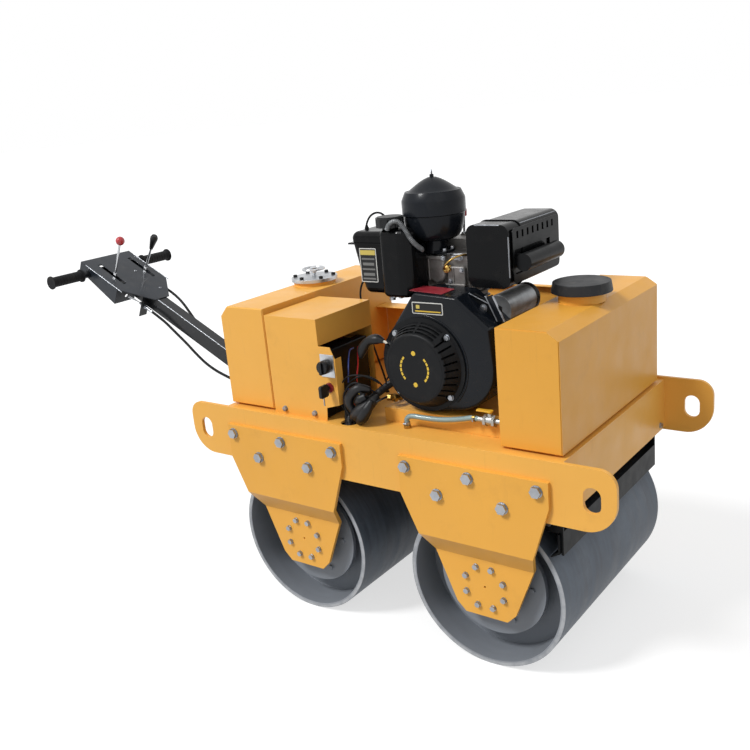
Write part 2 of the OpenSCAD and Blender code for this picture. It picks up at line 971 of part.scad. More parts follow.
// Drum with its shell, main discs, hub tubes and hub plates in one weldment
module drum() difference() {
  union() {
    y_ring(drum_d / 2, shell_in_r, -drum_half, drum_half, 0, axle_z);
    both_sides() {
      y_rod(shell_in_r + weld_lap, disc_y - disc_t, disc_y, 0, axle_z);
      y_rod(hub_r, disc_y - disc_t, hub_plate_y, 0, axle_z);
      y_rod(hub_plate_d / 2, hub_plate_y - hub_plate_t, hub_plate_y, 0, axle_z);
      at([0, hub_plate_y, axle_z]) rotate([-90, 0, 0]) for (k = [0 : hub_stud_count - 1])
        rotate(360 * k / hub_stud_count) at([hub_stud_r, 0, 0])
          cylinder(r = axle_head_r, h = axle_head_h, $fn = 6);
    }
  }
  both_sides() y_rod(bearing_half, disc_y - disc_t - over, hub_plate_y + over, 0, axle_z);
}

module rear_drum() color("#6C7278") in_frame() at([rear_x, 0, 0]) drum();
module front_drum() color("#6C7278") in_frame() at([front_x, 0, 0]) drum();

module drum_bearings() color("#C5C8CC") in_frame() for (x = [rear_x, front_x]) at([x, 0, 0])
  both_sides() y_ring(bearing_half - run_clear, journal_r + run_clear, bearing_y, hub_plate_y, 0, axle_z);

// Scraper in front of a drum whose axle is at x = 0, with tabs up to the side plates
module scraper_bar() {
  top = axle_z + scraper_top;
  block([scraper_x - scraper_t, -scraper_half, top - scraper_leg], [scraper_x, scraper_half, top]);
  block([scraper_x - scraper_flange, -scraper_half, top - scraper_t], [scraper_x, scraper_half, top]);
  both_sides() difference() {
    block([scraper_x - pipe_tab_w, scraper_half - scraper_t, top - scraper_t],
      [scraper_x, scraper_half, plate_low + scraper_tab_h]);
    y_rod(pipe_r + seat, 0, pipe_half, pipe_x, axle_z + pipe_z);
  }
  both_sides() block([scraper_x - scraper_tab_w, scraper_half - scraper_t,
    plate_low + scraper_tab_h - scraper_tab_w],
                     [scraper_x, gap_half, plate_low + scraper_tab_h]);
}

module scraper_bars() color("#22262A") in_frame() {
  at([front_x, 0, 0]) scraper_bar();
  at([rear_x, 0, 0]) mirror([1, 0, 0]) scraper_bar();
}

// Strip whose edge lies close to the drum, held on the back of the bar
blade_edge_r = drum_d / 2 + blade_gap;
module scraper_blade() {
  edge_z = blade_edge_r * sin(blade_angle);
  edge_x = blade_edge_r * cos(blade_angle);
  back_x = scraper_x - scraper_t;
  low = scraper_top - scraper_leg;
  at([0, 0, axle_z]) upright(-blade_half, blade_half) polygon([
    [edge_x, edge_z], [edge_x + blade_t, edge_z], [back_x, low + blade_t], [back_x,
      scraper_top - scraper_t - seat],
    [back_x - blade_t, scraper_top - scraper_t - seat], [back_x - blade_t, low + 2 * blade_t]
  ]);
}

module scraper_blades() color("#2E3236") in_frame() {
  at([front_x, 0, 0]) scraper_blade();
  at([rear_x, 0, 0]) mirror([1, 0, 0]) scraper_blade();
}

// Spray pipe with a row of small holes towards the drum
module spray_pipe() difference() {
  y_rod(pipe_r, -pipe_half, pipe_half, pipe_x, axle_z + pipe_z);
  y_rod(pipe_r - tank_wall, -pipe_half + tank_wall, pipe_half - tank_wall, pipe_x, axle_z + pipe_z);
  for (k = [0 : pipe_holes - 1])
    at([pipe_x, pipe_half * (2 * (k + 0.5) / pipe_holes - 1), axle_z + pipe_z - pipe_r - over])
      cylinder(r = pipe_hole_r, h = pipe_r);
}

module spray_pipes() color("#AEB6BE") in_frame() {
  at([front_x, 0, 0]) spray_pipe();
  at([rear_x, 0, 0]) mirror([1, 0, 0]) spray_pipe();
}

// Tank outline: one upper corner is cut off
module tank_outline(len, cut_x, cut_z) polygon([
  [0, frame_top], [len, frame_top], [len, tank_top - cut_z], [len - cut_x, tank_top], [0, tank_top]
]);

module tank_inside(len, cut_x, cut_z) polygon([
  [tank_wall, frame_top + tank_wall], [len - tank_wall, frame_top + tank_wall],
  [len - tank_wall, tank_top - cut_z - tank_wall / 2], [len - cut_x - tank_wall / 2,
    tank_top - tank_wall],
  [tank_wall, tank_top - tank_wall]
]);

// Hollow tank with its rear face at x = 0, end plates that stand proud and two feet
module tank_shell(len, cut_x, cut_z) {
  difference() {
    union() {
      upright(-tank_half + lip, tank_half - lip) tank_outline(len, cut_x, cut_z);
      both_sides() upright(tank_half - tank_wall, tank_half)
        intersection() {
          tank_outline(len, cut_x, cut_z);
          at([lip, frame_top + lip])
            square([len - 2 * lip, tank_h - 2 * lip]);
        }
    }
    upright(-tank_half + 2 * tank_wall, tank_half - 2 * tank_wall) tank_inside(len, cut_x, cut_z);
  }
  for (x = [tank_foot_w, len - 2 * tank_foot_w])
    block([x, -tank_half + tank_foot_w, deck_top], [x + tank_foot_w, tank_half - tank_foot_w, frame_top]);
}

module front_tank() color("#E2A33B") in_frame() difference() {
  union() {
    at([front_tank_x, 0, 0]) tank_shell(front_tank_len, front_chamfer_x, front_chamfer_z);
    at([front_mid_x, 0, tank_top - weld_lap]) cylinder(r = neck_d / 2, h = neck_h + weld_lap);
  }
  at([front_mid_x, 0, tank_top - tank_wall - over])
    cylinder(r = neck_d / 2 - neck_wall, h = neck_h + tank_wall + 2 * over);
  x_rod(tail_r, front_tank_x - over, front_tank_x + tank_wall + over, -valve_y,
    frame_top + valve_rise);
}

// Flat lid that turns on the neck
module front_tank_lid() color("#22252A") in_frame() difference() {
  at([front_mid_x, 0, tank_top + neck_h - lid_h + 2 * lid_wall])
    cylinder(r1 = lid_d / 2, r2 = lid_d / 2 - lid_wall, h = lid_h);
  at([front_mid_x, 0, tank_top]) cylinder(r = neck_d / 2 + run_clear, h = neck_h);
}

// Ball valve, its nipple and tail, both hose clamps and the barb on the deck
module water_valve() color("#B98E3A") in_frame() {
  z = frame_top + valve_rise;
  x1 = front_tank_x - nipple_len;
  x0 = x1 - valve_len;
  difference() {
    union() {
      x_rod(tail_r, x1, front_tank_x, -valve_y, z);
      x_rod(valve_r, x0, x1, -valve_y, z);
      at([x0, -valve_y, z]) rotate([0, 90, 0]) cylinder(r = valve_hex_r, h = valve_clamp_w,
        $fn = 6);
      at([x1 - valve_clamp_w, -valve_y, z]) rotate([0, 90, 0])
        cylinder(r = valve_hex_r, h = valve_clamp_w, $fn = 6);
      x_rod(tail_r, x0 - tail_len, x0, -valve_y, z);
      at([valve_stem_x, -valve_y, z]) cylinder(r = valve_stem_r + clamp_t,
        h = valve_r + valve_stem_h / 2);
    }
    at([valve_stem_x, -valve_y, z]) cylinder(r = valve_stem_r + run_clear,
      h = valve_r + valve_stem_h);
  }
  difference() {
    x_rod(hose_r + clamp_t, x0 - tail_len - 2 * clamp_w, x0 - tail_len - clamp_w, -valve_y, z);
    x_rod(hose_r + seat, 0, x0, -valve_y, z);
  }
  at([hose_end_x, -hose_end_y, deck_top]) cylinder(r = barb_r, h = barb_h);
}

// Lever that turns a quarter turn on the valve
module valve_handle() color("#C03A2B") in_frame() at([valve_stem_x, -valve_y,
  frame_top + valve_rise]) {
  at([0, 0, valve_stem_r]) cylinder(r = valve_stem_r, h = valve_r + valve_stem_h - valve_stem_r);
  top = valve_r + valve_stem_h - valve_lever_t;
  at([0, 0, top]) cylinder(r = valve_lever_w / 2 + clamp_t, h = valve_lever_t);
  block([-valve_lever_len, -valve_lever_w / 2, top], [0, valve_lever_w / 2, top + valve_lever_t]);
}

module water_hose() color("#25282B") in_frame() cord(smooth(hose_route, 2), hose_r, 10);

module rear_tank() color("#E2A33B") in_frame() difference() {
  union() {
    at([-rear_tank_x, 0, 0]) mirror([1, 0, 0]) tank_shell(rear_tank_len, rear_chamfer_x,
      rear_chamfer_z);
    at([rear_mid_x, flange_y, tank_top - weld_lap])
      cylinder(r = flange_d / 2 - flange_lip, h = flange_neck_h + weld_lap);
  }
  at([rear_mid_x, flange_y, tank_top - tank_wall - over])
    cylinder(r = screw_circle - flange_bore_r, h = flange_neck_h + tank_wall + 2 * over);
}

// Bolted filler flange with its ring of socket screws
module filler_flange() color("#B4B8BC") in_frame() at([rear_mid_x, flange_y,
  tank_top + flange_neck_h])
  difference() {
    union() {
      cylinder(r = flange_d / 2, h = flange_t);
      for (k = [0 : flange_screws - 1]) rotate(360 * (k + 0.5) / flange_screws)
        at([screw_circle, 0, flange_t]) difference() {
          cylinder(r = screw_head_r, h = screw_head_h);
          at([0, 0, screw_head_h / 2]) cylinder(r = screw_head_r / 2, h = screw_head_h, $fn = 6);
        }
    }
    at([0, 0, -over]) cylinder(r = wheel_stem_r + run_clear, h = flange_t + 2 * over);
  }

module filler_handwheel() color("#C9CCD0") in_frame() at([rear_mid_x, flange_y,
  tank_top + flange_neck_h]) {
  rise = flange_t + handwheel_h;
  ring_r = handwheel_d / 2 - wheel_tube_r;
  cylinder(r = wheel_stem_r, h = rise);
  at([0, 0, rise - 3 * wheel_tube_r]) cylinder(r = handwheel_hub_r, h = 4 * wheel_tube_r);
  at([0, 0, rise]) rotate_extrude() at([ring_r, 0]) circle(r = wheel_tube_r, $fn = 16);
  for (k = [0 : 2]) rotate(120 * k + 30) at([0, 0, rise]) rotate([0, 90, 0])
    cylinder(r = wheel_tube_r - over, h = ring_r, $fn = 16);
}

// Places of the small bolts on the cover, on the recoil starter and on the cross plates
module cover_bolts_at() for (x = [cover_bolt_x0, cover_bolt_x1])
  at([cover_x0 + x, -cover_y, deck_top + cover_bolt_rise]) rotate([90, 0, 0]) children();
module at_recoil_bolts() for (k = [0 : 3]) at([crank_x, -rim_y, crank_z])
  rotate([90, 0, 0]) rotate(90 * k + 45) at([recoil_bolt_r, 0, 0]) children();
module at_corner_bolts() for (s = [-1, 1])
  at([0, s * (gap_half - corner_bolt_inset - plate_t), plate_low + corner_bolt_inset]) {
    at([cross_front_x + cross_t, 0, 0]) rotate([0, 90, 0]) children();
    at([-cross_rear_x - cross_t, 0, 0]) rotate([0, -90, 0]) children();
  }

module small_bolt(len) hex_bolt(small_head_r, small_head_h, small_washer_r, small_washer_t,
  small_shank_r, len);
module small_hole(len) at([0, 0, -len]) cylinder(r = small_shank_r + bolt_clear, h = len + over);

module small_bolts() color("#C4C7CA") in_frame() {
  cover_bolts_at() small_bolt(2 * cover_t);
  at_recoil_bolts() small_bolt(rim_t);
  at_corner_bolts() small_bolt(cross_t);
}

// Battery cover: a sheet metal hood, open at the bottom and on the engine's side, with a switch tab
module cover_face() {
  x1 = cover_x0 + cover_len;
  top = deck_top + cover_h;
  polygon([
    [cover_x0, deck_top], [cover_x0, top], [x1, top], [x1, top - tab_drop],
    [x1 + tab_w * (1 - tab_corner_share), top - tab_drop], [x1 + tab_w, top - tab_drop - tab_slope],
    [x1 + tab_w, deck_top + tab_bottom_rise], [x1 + tab_w * tab_foot_share, deck_top + tab_foot_rise],
    [x1 + tab_w * tab_foot_share / 2, deck_top]
  ]);
}

module battery_cover() color("#E2A33B") in_frame() {
  x1 = cover_x0 + cover_len;
  top = deck_top + cover_h;
  far_y = cover_w - cover_y;
  difference() {
    union() {
      upright(-cover_y, -cover_y + cover_t) cover_face();
      block([cover_x0, -cover_y, top - cover_t], [x1, far_y, top]);
      block([cover_x0, -cover_y, deck_top], [cover_x0 + cover_t, far_y, top]);
      block([cover_x0, far_y - cover_t, deck_top], [x1, far_y, top]);
      block([x1 - cover_t, -cover_y, top - lip_h], [x1, far_y, top]);
      block([x1 + tab_w - cover_t, -cover_y, deck_top + tab_bottom_rise],
            [x1 + tab_w, -cover_y + tab_fold, top - tab_drop - tab_slope]);
    }
    cover_bolts_at() small_hole(2 * cover_t);
    y_rod(switch_hole_r, -cover_y - over, -cover_y + 2 * cover_t, switch_x, switch_z);
    y_rod(key_body_r + seat, -cover_y - over, -cover_y + 2 * cover_t, switch_x, key_z);
  }
}

// Block battery with its lid and two terminals
module battery() color("#26292D") in_frame() at([cover_x0 + battery_inset,
  battery_inset - cover_y, deck_top]) {
  block([0, 0, 0], [battery_len, battery_w, battery_h - battery_lid_h]);
  block([cover_t, cover_t, battery_h - battery_lid_h], [battery_len - cover_t, battery_w - cover_t,
    battery_h]);
  for (s = [-1, 1]) at([battery_len / 2, battery_w * (2 + s) / 4, battery_h])
    cylinder(r1 = terminal_r, r2 = terminal_r - cover_t, h = terminal_h);
}

// Rotary main switch that turns on the tab
module main_switch() color("#1E2124") in_frame() {
  y_rod(main_knob_r, -cover_y - 2 * cover_t - main_knob_len, -cover_y - 2 * cover_t, switch_x,
    switch_z);
  y_rod(switch_hole_r - run_clear, -cover_y - 2 * cover_t, -cover_y + switch_stem_len, switch_x,
    switch_z);
  block([switch_x - main_knob_bar_w / 2, -cover_y - main_knob_len - 3 * main_knob_bar_w / 2,
    switch_z - main_knob_r],
        [switch_x + main_knob_bar_w / 2, -cover_y - main_knob_len, switch_z + main_knob_r]);
}

// Legend plate of the main switch and the barrel of the key switch
module switch_panel() color("#C8CCD2") in_frame() difference() {
  union() {
    block([switch_x - legend_w / 2, -cover_y - cover_t, switch_z - legend_h / 2],
          [switch_x + legend_w / 2, -cover_y, switch_z + legend_h / 2]);
    y_rod(key_collar_r, -cover_y - key_collar_len, -cover_y, switch_x, key_z);
    y_rod(key_body_r, -cover_y - key_collar_len, -cover_y + key_body_len, switch_x, key_z);
  }
  y_rod(switch_hole_r, -cover_y - 2 * cover_t, -cover_y + over, switch_x, switch_z);
  y_rod(key_stem_r + run_clear, -cover_y - key_collar_len - over, -cover_y + key_collar_len,
    switch_x, key_z);
}

module ignition_key() color("#191B1E") in_frame() {
  y0 = -cover_y - key_collar_len;
  y_rod(key_stem_r, y0 - key_slot_w, y0 + 2 * key_collar_len - over, switch_x, key_z);
  upright(y0 - key_slot_w - key_len, y0 - key_slot_w) at([switch_x, key_z])
    round_rect(key_slot_w * 2, key_w, key_slot_w - seat);
}

module wiring_harness() color("#1D2023") in_frame() {
  cord(smooth(harness_route, 2), harness_r, 10);
  cord(smooth(harness_loop_route, 2), harness_loop_r, 10);
}

module at_crank() in_frame() at([crank_x, 0, crank_z]) children();

// Crankcase with its feet, side cover and lug for the speed lever
module crankcase() color("#3A3D41") at_crank() difference() {
  union() {
    at([0, (case_y0 + case_y1) / 2, -crank_h]) linear_extrude(case_h)
      round_rect(case_len, case_y1 - case_y0, case_corner_r);
    for (s = [-1, 1]) block([min(s * case_len / 2, s * (case_len / 2 - 2 * case_foot_w)), case_y0,
      -crank_h],
                            [max(s * case_len / 2, s * (case_len / 2 - 2 * case_foot_w)), case_y1,
                              case_foot_t - crank_h]);
    y_rod(cover_r, case_y1, case_y1 + side_lip, 0, 0);
    block([speed_x - speed_w / 2, speed_y + 2 * speed_w, speed_z - speed_w],
          [case_corner_r - case_len / 2, speed_y + 4 * speed_w, speed_z + speed_w]);
    y_rod(speed_pin_r, speed_y + speed_w + over, speed_y + 2 * speed_w + over, speed_x, speed_z);
  }
  y_rod(crank_r + run_clear, case_y0 - over, case_y1 + side_lip + over, 0, 0);
}

// Finned cylinder with its head and exhaust port
module cylinder_head_part() {
  base = case_top;
  pitch = cylinder_h / fin_count;
  block([-cylinder_half + fin_depth, cylinder_y0 + fin_depth, base], [cylinder_half - fin_depth,
    cylinder_y1, base + cylinder_h]);
  for (k = [0 : fin_count - 1]) at([0, (cylinder_y0 + cylinder_y1) / 2, base + pitch * (k + 0.5)])
    linear_extrude(fin_t) round_rect(2 * cylinder_half, cylinder_y1 - cylinder_y0, fin_depth);
  block([-head_x0, head_y0, base + cylinder_h], [head_x1, cylinder_y1, base + cylinder_h + head_h]);
  x_rod(port_r, head_x1, muffler_x0, port_y, muffler_drop + 2 * port_r);
}

module cylinder_block() color("#8E9296") at_crank() cylinder_head_part();

// Rocker cover with its nuts and the pivot of the decompression lever
module rocker_cover() color("#7E8286") at_crank() {
  base = case_top + cylinder_h + head_h;
  mid = [(head_x1 - head_x0) / 2, (cylinder_y1 + rocker_y0) / 2];
  w = head_x1 + head_x0 - 2 * rocker_inset;
  d = cylinder_y1 - rocker_y0;
  at([mid[0], mid[1], base]) {
    linear_extrude(rocker_h / 4) round_rect(w + rocker_inset, d, rocker_r);
    linear_extrude(rocker_h) round_rect(w, d - rocker_inset, rocker_r);
    for (s = [-1, 1]) at([s * w / 4, d / 4, rocker_h]) cylinder(r = rocker_nut_r,
      h = rocker_nut_h, $fn = 6);
  }
  at([decomp_dx, decomp_y, base + rocker_h]) difference() {
    cylinder(r = decomp_hub_r + cover_t, h = decomp_hub_h / 2);
    at([0, 0, over]) cylinder(r = decomp_hub_r / 2 + run_clear, h = decomp_hub_h);
  }
}

module decompression_lever() color("#B5322A") at_crank()
  at([decomp_dx, decomp_y, case_top + cylinder_h + head_h + rocker_h]) {
    at([0, 0, over]) cylinder(r = decomp_hub_r / 2, h = decomp_hub_h / 2);
    at([0, 0, decomp_hub_h / 2]) cylinder(r = decomp_hub_r, h = decomp_hub_h / 2);
    tip = [decomp_len * sin(decomp_lean), -decomp_len * sin(decomp_lean), decomp_len];
    rod([0, 0, decomp_hub_h / 2], tip, decomp_r);
    rod(tip - decomp_knob_h * unit(tip), tip, decomp_knob_r);
  }

module speed_lever_outline() {
  circle(r = speed_w * 3 / 4);
  at([-speed_len, -speed_w / 4]) square([speed_len, speed_w / 2]);
  at([-speed_len, 0]) circle(r = speed_w / 2);
}
module throttle_lever() color("#A9ADB1") at_crank() difference() {
  upright(speed_y + speed_w + over, speed_y + speed_w + speed_t + over)
    at([speed_x, speed_z]) rotate(-speed_rise) speed_lever_outline();
  y_rod(speed_pin_r + run_clear, speed_y, 0, speed_x, speed_z);
}

// Outline of the blower housing round the crankshaft, made of five tangent rounds
module blower_outline(inset) hull() {
  circle(r = blower_r - inset);
  at([blower_bulge_x, blower_bulge_z]) circle(r = blower_bulge_r - inset);
  at([blower_top_x0, blower_top_z]) circle(r = blower_top_r - inset);
  at([blower_top_x1, blower_top_z - blower_round])
    circle(r = blower_top_r + blower_round / 2 - inset);
  at([blower_shoulder_x, blower_shoulder_z]) circle(r = blower_top_r - inset);
}

module blower_housing() color("#2B2E32") at_crank() difference() {
  upright(-blower_y0, -blower_rear) blower_outline(0);
  upright(blower_wall - blower_y0, over - blower_rear) blower_outline(blower_wall);
  y_rod(flywheel_r - 2 * blower_wall, -blower_y0 - over, 0, 0, 0);
  at([-crank_x, 0, -crank_z]) at_recoil_bolts() small_hole(3 * rim_t);
}

// Recoil starter: a cone with a louvred grille round a plain face
module recoil_profile(inset) {
  r0 = rim_d / 2 - edge_r - inset;
  r1 = face_d / 2 + edge_r - inset;
  face = recoil_h - inset;
  polygon(concat(
    [[0, 0], [r0, 0]],
    [[r1, face - edge_r]],
    [for (a = [0 : 15 : 90]) [r1 - edge_r + edge_r * cos(a), face - edge_r + edge_r * sin(a)]],
    [[0, face]]
  ));
}

// Arc slot cut along the crankshaft between two radii and two angles
module arc_slot(r0, r1, a0, a1) rotate([90, 0, 0]) rotate(a0)
  rotate_extrude(angle = a1 - a0) at([r0, rim_y]) square([r1 - r0, recoil_h]);

module recoil_housing() color("#303338") at_crank() difference() {
  union() {
    at([0, -blower_y0, 0]) rotate([90, 0, 0]) rotate_extrude() recoil_profile(0);
    y_rod(rim_d / 2, -rim_y, -blower_y0, 0, 0);
    rod(rope_start + 2 * rope_guide_r * [1, 0, -1 / 3], rope_start, rope_guide_r);
  }
  difference() {
    at([0, over - blower_y0, 0]) rotate([90, 0, 0]) rotate_extrude() recoil_profile(recoil_wall);
    y_rod(recoil_hub_r, -blower_y0 - recoil_h, -blower_y0 - recoil_h / 2, 0, 0);
  }
  row = (rim_d / 2 - edge_r - face_d / 2 - edge_r) / arc_rows;
  for (k = [0 : arc_rows - 1], c = [0 : arc_cols - 1]) {
    r = face_d / 2 + edge_r + row * k;
    a = arc_start + c * arc_span / arc_cols;
    arc_slot(r, r + row * arc_slot_share, a + arc_gap / 2, a + arc_span / arc_cols - arc_gap / 2);
  }
  for (side = [0, 1], k = [0 : side_slats - 1])
    at([0, -rim_y, 0])
      rotate([0, -(k - (side_slats - 1) / 2) * slat_pitch * (1 - 2 * side) - 180 * side, 0])
        block([slat_r, slat_y - recoil_h, -slat_w / 2], [rim_d, -slat_y, slat_w / 2]);
  at([-crank_x, 0, -crank_z]) at_recoil_bolts() {
    small_hole(2 * rim_t);
    cylinder(r = small_washer_r + over, h = recoil_h);
  }
}

// Grip that hangs on the rope beside the recoil starter
module recoil_grip() color("#1A1C1F") at_crank() cord(smooth(grip_route, 2), grip_r, 12);
module recoil_rope() color("#D8D4C8") at_crank()
  rod(rope_start + seat * [-1, 0, 1 / 3], grip_route[0] + seat * [1, 0, -1 / 3], rope_r);

// Flywheel with fan blades and the starter cup
module flywheel() color("#55595D") at_crank() difference() {
  union() {
    y_rod(flywheel_r, -flywheel_y, flywheel_t - flywheel_y, 0, 0);
    for (k = [0 : fan_blades - 1]) rotate([0, 360 * k / fan_blades, 0])
      block([flywheel_r - blade_len - fan_gap, -flywheel_y - blade_h, -blade_w / 2],
        [flywheel_r - fan_gap, -flywheel_y + over, blade_w / 2]);
    y_rod(cup_r, -flywheel_y - 2 * blade_h, -flywheel_y + over, 0, 0);
  }
  y_rod(cup_r - blower_wall, -flywheel_y - 2 * blade_h - over, -flywheel_y - blower_wall, 0, 0);
  y_rod(crank_r, -flywheel_y - blower_wall - over, flywheel_t - flywheel_y + over, 0, 0);
}

// Crankshaft with its belt pulley and the coupling to the pump
module crankshaft() color("#9CA0A4") at_crank() {
  difference() {
    union() {
      y_rod(crank_r, -flywheel_y - blower_wall, crank_y1, 0, 0);
      y_rod(pulley_r, pulley_y0, pulley_y1, 0, 0);
    }
    y_ring(2 * pulley_r, pulley_r - groove_depth, groove_y - groove_w / 2, groove_y + groove_w / 2, 0, 0);
  }
  y_rod(coupling_r, crank_y1 - coupling_len, crank_y1, 0, 0);
}

// Fuel tank: a tapered block and a round lobe with a seam flange, cut away round the air filter
module fuel_tank() color("#24272B") at_crank() difference() {
  top = fuel_top;
  low = fuel_bottom + fuel_wall;
  lobe_cut = filter_rise - fuel_wall;
  inner_x = -fuel_right - 2 * fuel_r;
  union() {
    soft_block([-fuel_left, -fuel_y0, fuel_bottom], [-fuel_right, -fuel_y1, top], fuel_r, fuel_taper);
    hull() for (p = lobe_plan, z = [fuel_bottom - lobe_drop + lobe_r, top + lobe_rise - lobe_r])
      at([p[0], p[1], z]) sphere(r = lobe_r, $fn = 20);
    block([-fuel_left - seam_out, -fuel_y0 - seam_out, top - seam_drop], [-fuel_right,
      seam_out - fuel_y1, top - seam_drop + seam_h]);
    at([neck_x, -neck_y, top - lobe_r]) cylinder(r = fuel_neck_r, h = fuel_neck_h + lobe_r);
    block([-fuel_right - fuel_r, head_y0 + fuel_r, case_top + cylinder_h + seat], [-head_x0,
      -fuel_r, top - fuel_r]);
  }
  at([filter_x, filter_y, filter_rise - over]) cylinder(r = filter_r + guard_gap, h = lid_top_h);
  block([fuel_r + fuel_taper - fuel_left, fuel_r - fuel_y0, low], [inner_x, -fuel_r, top - fuel_wall]);
  block([fuel_r - lobe_left, fuel_r - lobe_y0, low], [-lobe_foot, -lobe_y1 - fuel_r, lobe_cut]);
  block([inner_x - over, fuel_r - fuel_y0, low], [fuel_r - lobe_left + over, -lobe_y1 - fuel_r,
    lobe_cut]);
  at([neck_x, -neck_y, fuel_bottom + fuel_h / 2]) cylinder(r = fuel_neck_r - 2 * fuel_wall,
    h = fuel_h / 2 + fuel_neck_h + over);
}

module fuel_cap() color("#1C1E21") at_crank()
  at([neck_x, -neck_y, fuel_top + fuel_cap_rise + seat]) difference() {
    union() {
      cylinder(r = fuel_cap_r, h = fuel_cap_h - cap_groove_r / 2);
      cylinder(r = fuel_cap_r - cap_groove_r, h = fuel_cap_h);
    }
    at([0, 0, -over]) cylinder(r = fuel_neck_r + run_clear, h = fuel_neck_h - fuel_cap_rise + over);
    for (k = [0 : cap_grooves - 1]) rotate(360 * k / cap_grooves)
      at([fuel_cap_r + cap_groove_r / 2, 0, -over]) cylinder(r = cap_groove_r, h = fuel_cap_h
        - cap_groove_r, $fn = 16);
  }

module filter_turn(shares, h) rotate_extrude()
  polygon(concat([[0, 0]], [for (s = shares) [filter_r * s[0], h * s[1]]], [[0, h]]));

// Air filter body on its intake neck, and its lid with a wing nut
module air_filter() color("#26292D") at_crank() at([filter_x, filter_y, filter_rise]) {
  drop = filter_rise - case_top - cylinder_h - head_h - seat;
  filter_turn(body_shares, body_h);
  at([0, 0, -drop]) {
    cylinder(r = intake_r, h = drop + over);
    linear_extrude(intake_flange_t) round_rect(intake_flange[0], intake_flange[1], intake_flange[2]);
  }
}

module air_filter_lid() color("#1E2125") at_crank() at([filter_x, filter_y,
  filter_rise + body_h]) {
  filter_turn(lid_shares, lid_top_h);
  at([0, 0, lid_top_h - over]) cylinder(r = wing_r, h = wing_h * 2 / 3);
  block([-wing_span, -wing_t / 2, lid_top_h], [wing_span, wing_t / 2, lid_top_h + wing_h]);
}

// Muffler body with a raised seam band
module muffler_outline(grow) at([(muffler_x0 + muffler_x1) / 2, muffler_drop + muffler_h / 2])
  round_rect(muffler_x1 - muffler_x0 + 2 * grow, muffler_h + 2 * grow, muffler_r + grow);

module muffler() color("#1F2124") at_crank() difference() {
  union() {
    upright(muffler_y0, muffler_y1) muffler_outline(0);
    upright(muffler_y0 + muffler_seam, muffler_y0 + muffler_seam + muffler_seam_w)
      muffler_outline(fuel_wall);
  }
  upright(muffler_y0 + guard_t, muffler_y1 - guard_t) muffler_outline(-guard_t);
  x_rod(outlet_r - seam_out, (muffler_x0 + muffler_x1) / 2, muffler_x1 + over,
    outlet_y0 + port_dy, outlet_z);
}

// Guard plate on the muffler's front with slots and a window, and the outlet pipe
module muffler_guard() color("#2A2C30") at_crank() {
  x0 = muffler_x1 + fuel_wall + seat;
  z0 = muffler_drop + muffler_r / 2;
  z1 = muffler_drop + muffler_h - muffler_r / 2;
  y1 = muffler_y1 - muffler_r / 2;
  difference() {
    at([x0, 0, 0]) rotate([90, 0, 90]) linear_extrude(guard_t)
      at([(muffler_y0 + y1) / 2 + muffler_r / 4, (z0 + z1) / 2])
        round_rect(y1 - muffler_y0 - muffler_r / 2, z1 - z0, muffler_r / 2);
    block([x0 - over, outlet_y0 - outlet_wall, outlet_z - window_h / 2], [x0 + 2 * guard_t,
      outlet_y0 + 2 * port_dy + window_len, outlet_z + window_h / 2]);
    for (k = [0 : louvres - 1]) at([x0, muffler_y0 + muffler_r + louvre_pitch * (k + 0.5),
      z1 - louvre_h / 2])
      block([-over, -louvre_w / 2, -louvre_h / 4], [2 * guard_t, louvre_w / 2, louvre_h / 4]);
  }
  for (y = [muffler_y0 + muffler_r, y1 - 2 * muffler_r], z = [z0 + louvre_w, z1 - louvre_h])
    x_rod(louvre_w / 2, muffler_x1, x0, y, z);
  difference() {
    union() {
      y_rod(outlet_r, outlet_y0, outlet_y0 + port_dy + outlet_reach, outlet_x, outlet_z);
      x_rod(outlet_r - seam_out, muffler_x1, outlet_x, outlet_y0 + port_dy, outlet_z);
    }
    y_rod(outlet_r - outlet_wall, outlet_y0 + outlet_wall,
      outlet_y0 + port_dy + outlet_reach + over, outlet_x, outlet_z);
    x_rod(outlet_r - seam_out - outlet_wall, muffler_x1 - over, outlet_x, outlet_y0 + port_dy,
      outlet_z);
  }
}

// Electric starter with its solenoid and the arm that stands on the crankcase
module starter_motor() color("#3B3F44") at_crank() {
  y1 = starter_y0 + starter_len;
  y_rod(starter_r, starter_y0, y1 - starter_cap_len, starter_dx, starter_dz);
  y_rod(starter_cap_r, y1 - starter_cap_len, y1, starter_dx, starter_dz);
  y_rod(solenoid_r, starter_y0, starter_y0 + solenoid_len, starter_dx, starter_dz - solenoid_dz);
  upright(starter_y0, starter_y0 + starter_arm_t) polygon([
    [case_len / 2 - starter_arm_w, case_top], [case_len / 2, case_top],
    [starter_dx + starter_r, starter_dz - starter_r], [starter_dx,
      starter_dz + starter_r - starter_arm_t],
    [starter_dx - starter_r, starter_dz]
  ]);
}

// Outline of the belt between the two pulleys, its middle on the crankshaft
module belt_outline(r) {
  circle(r = r);
  at([0, -belt_drop]) circle(r = r);
  at([-r, -belt_drop]) square([2 * r, belt_drop]);
}
module drive_belt() color("#1B1C1E") at_crank() difference() {
  upright(groove_y - belt_w / 2, groove_y + belt_w / 2) belt_outline(pulley_r - groove_depth + belt_t);
  upright(groove_y - belt_w, groove_y + belt_w) belt_outline(pulley_r - groove_depth + run_clear);
}

// Guard round the belt above the engine base
module belt_guard() color("#E2A33B") at_crank() difference() {
  low = base_top - crank_z;
  upright(guard_box_y0, guard_box_y1) guard_outline(0, low);
  upright(guard_box_y0 + guard_box_t, guard_box_y1 - guard_box_t) guard_outline(guard_box_t, low - over);
  y_rod(2 * crank_r, guard_box_y0 - over, guard_box_y1 + over, 0, 0);
}
module guard_outline(inset, low) {
  circle(r = guard_box_r - inset);
  at([inset - guard_box_r, low]) square([2 * (guard_box_r - inset), -low]);
}

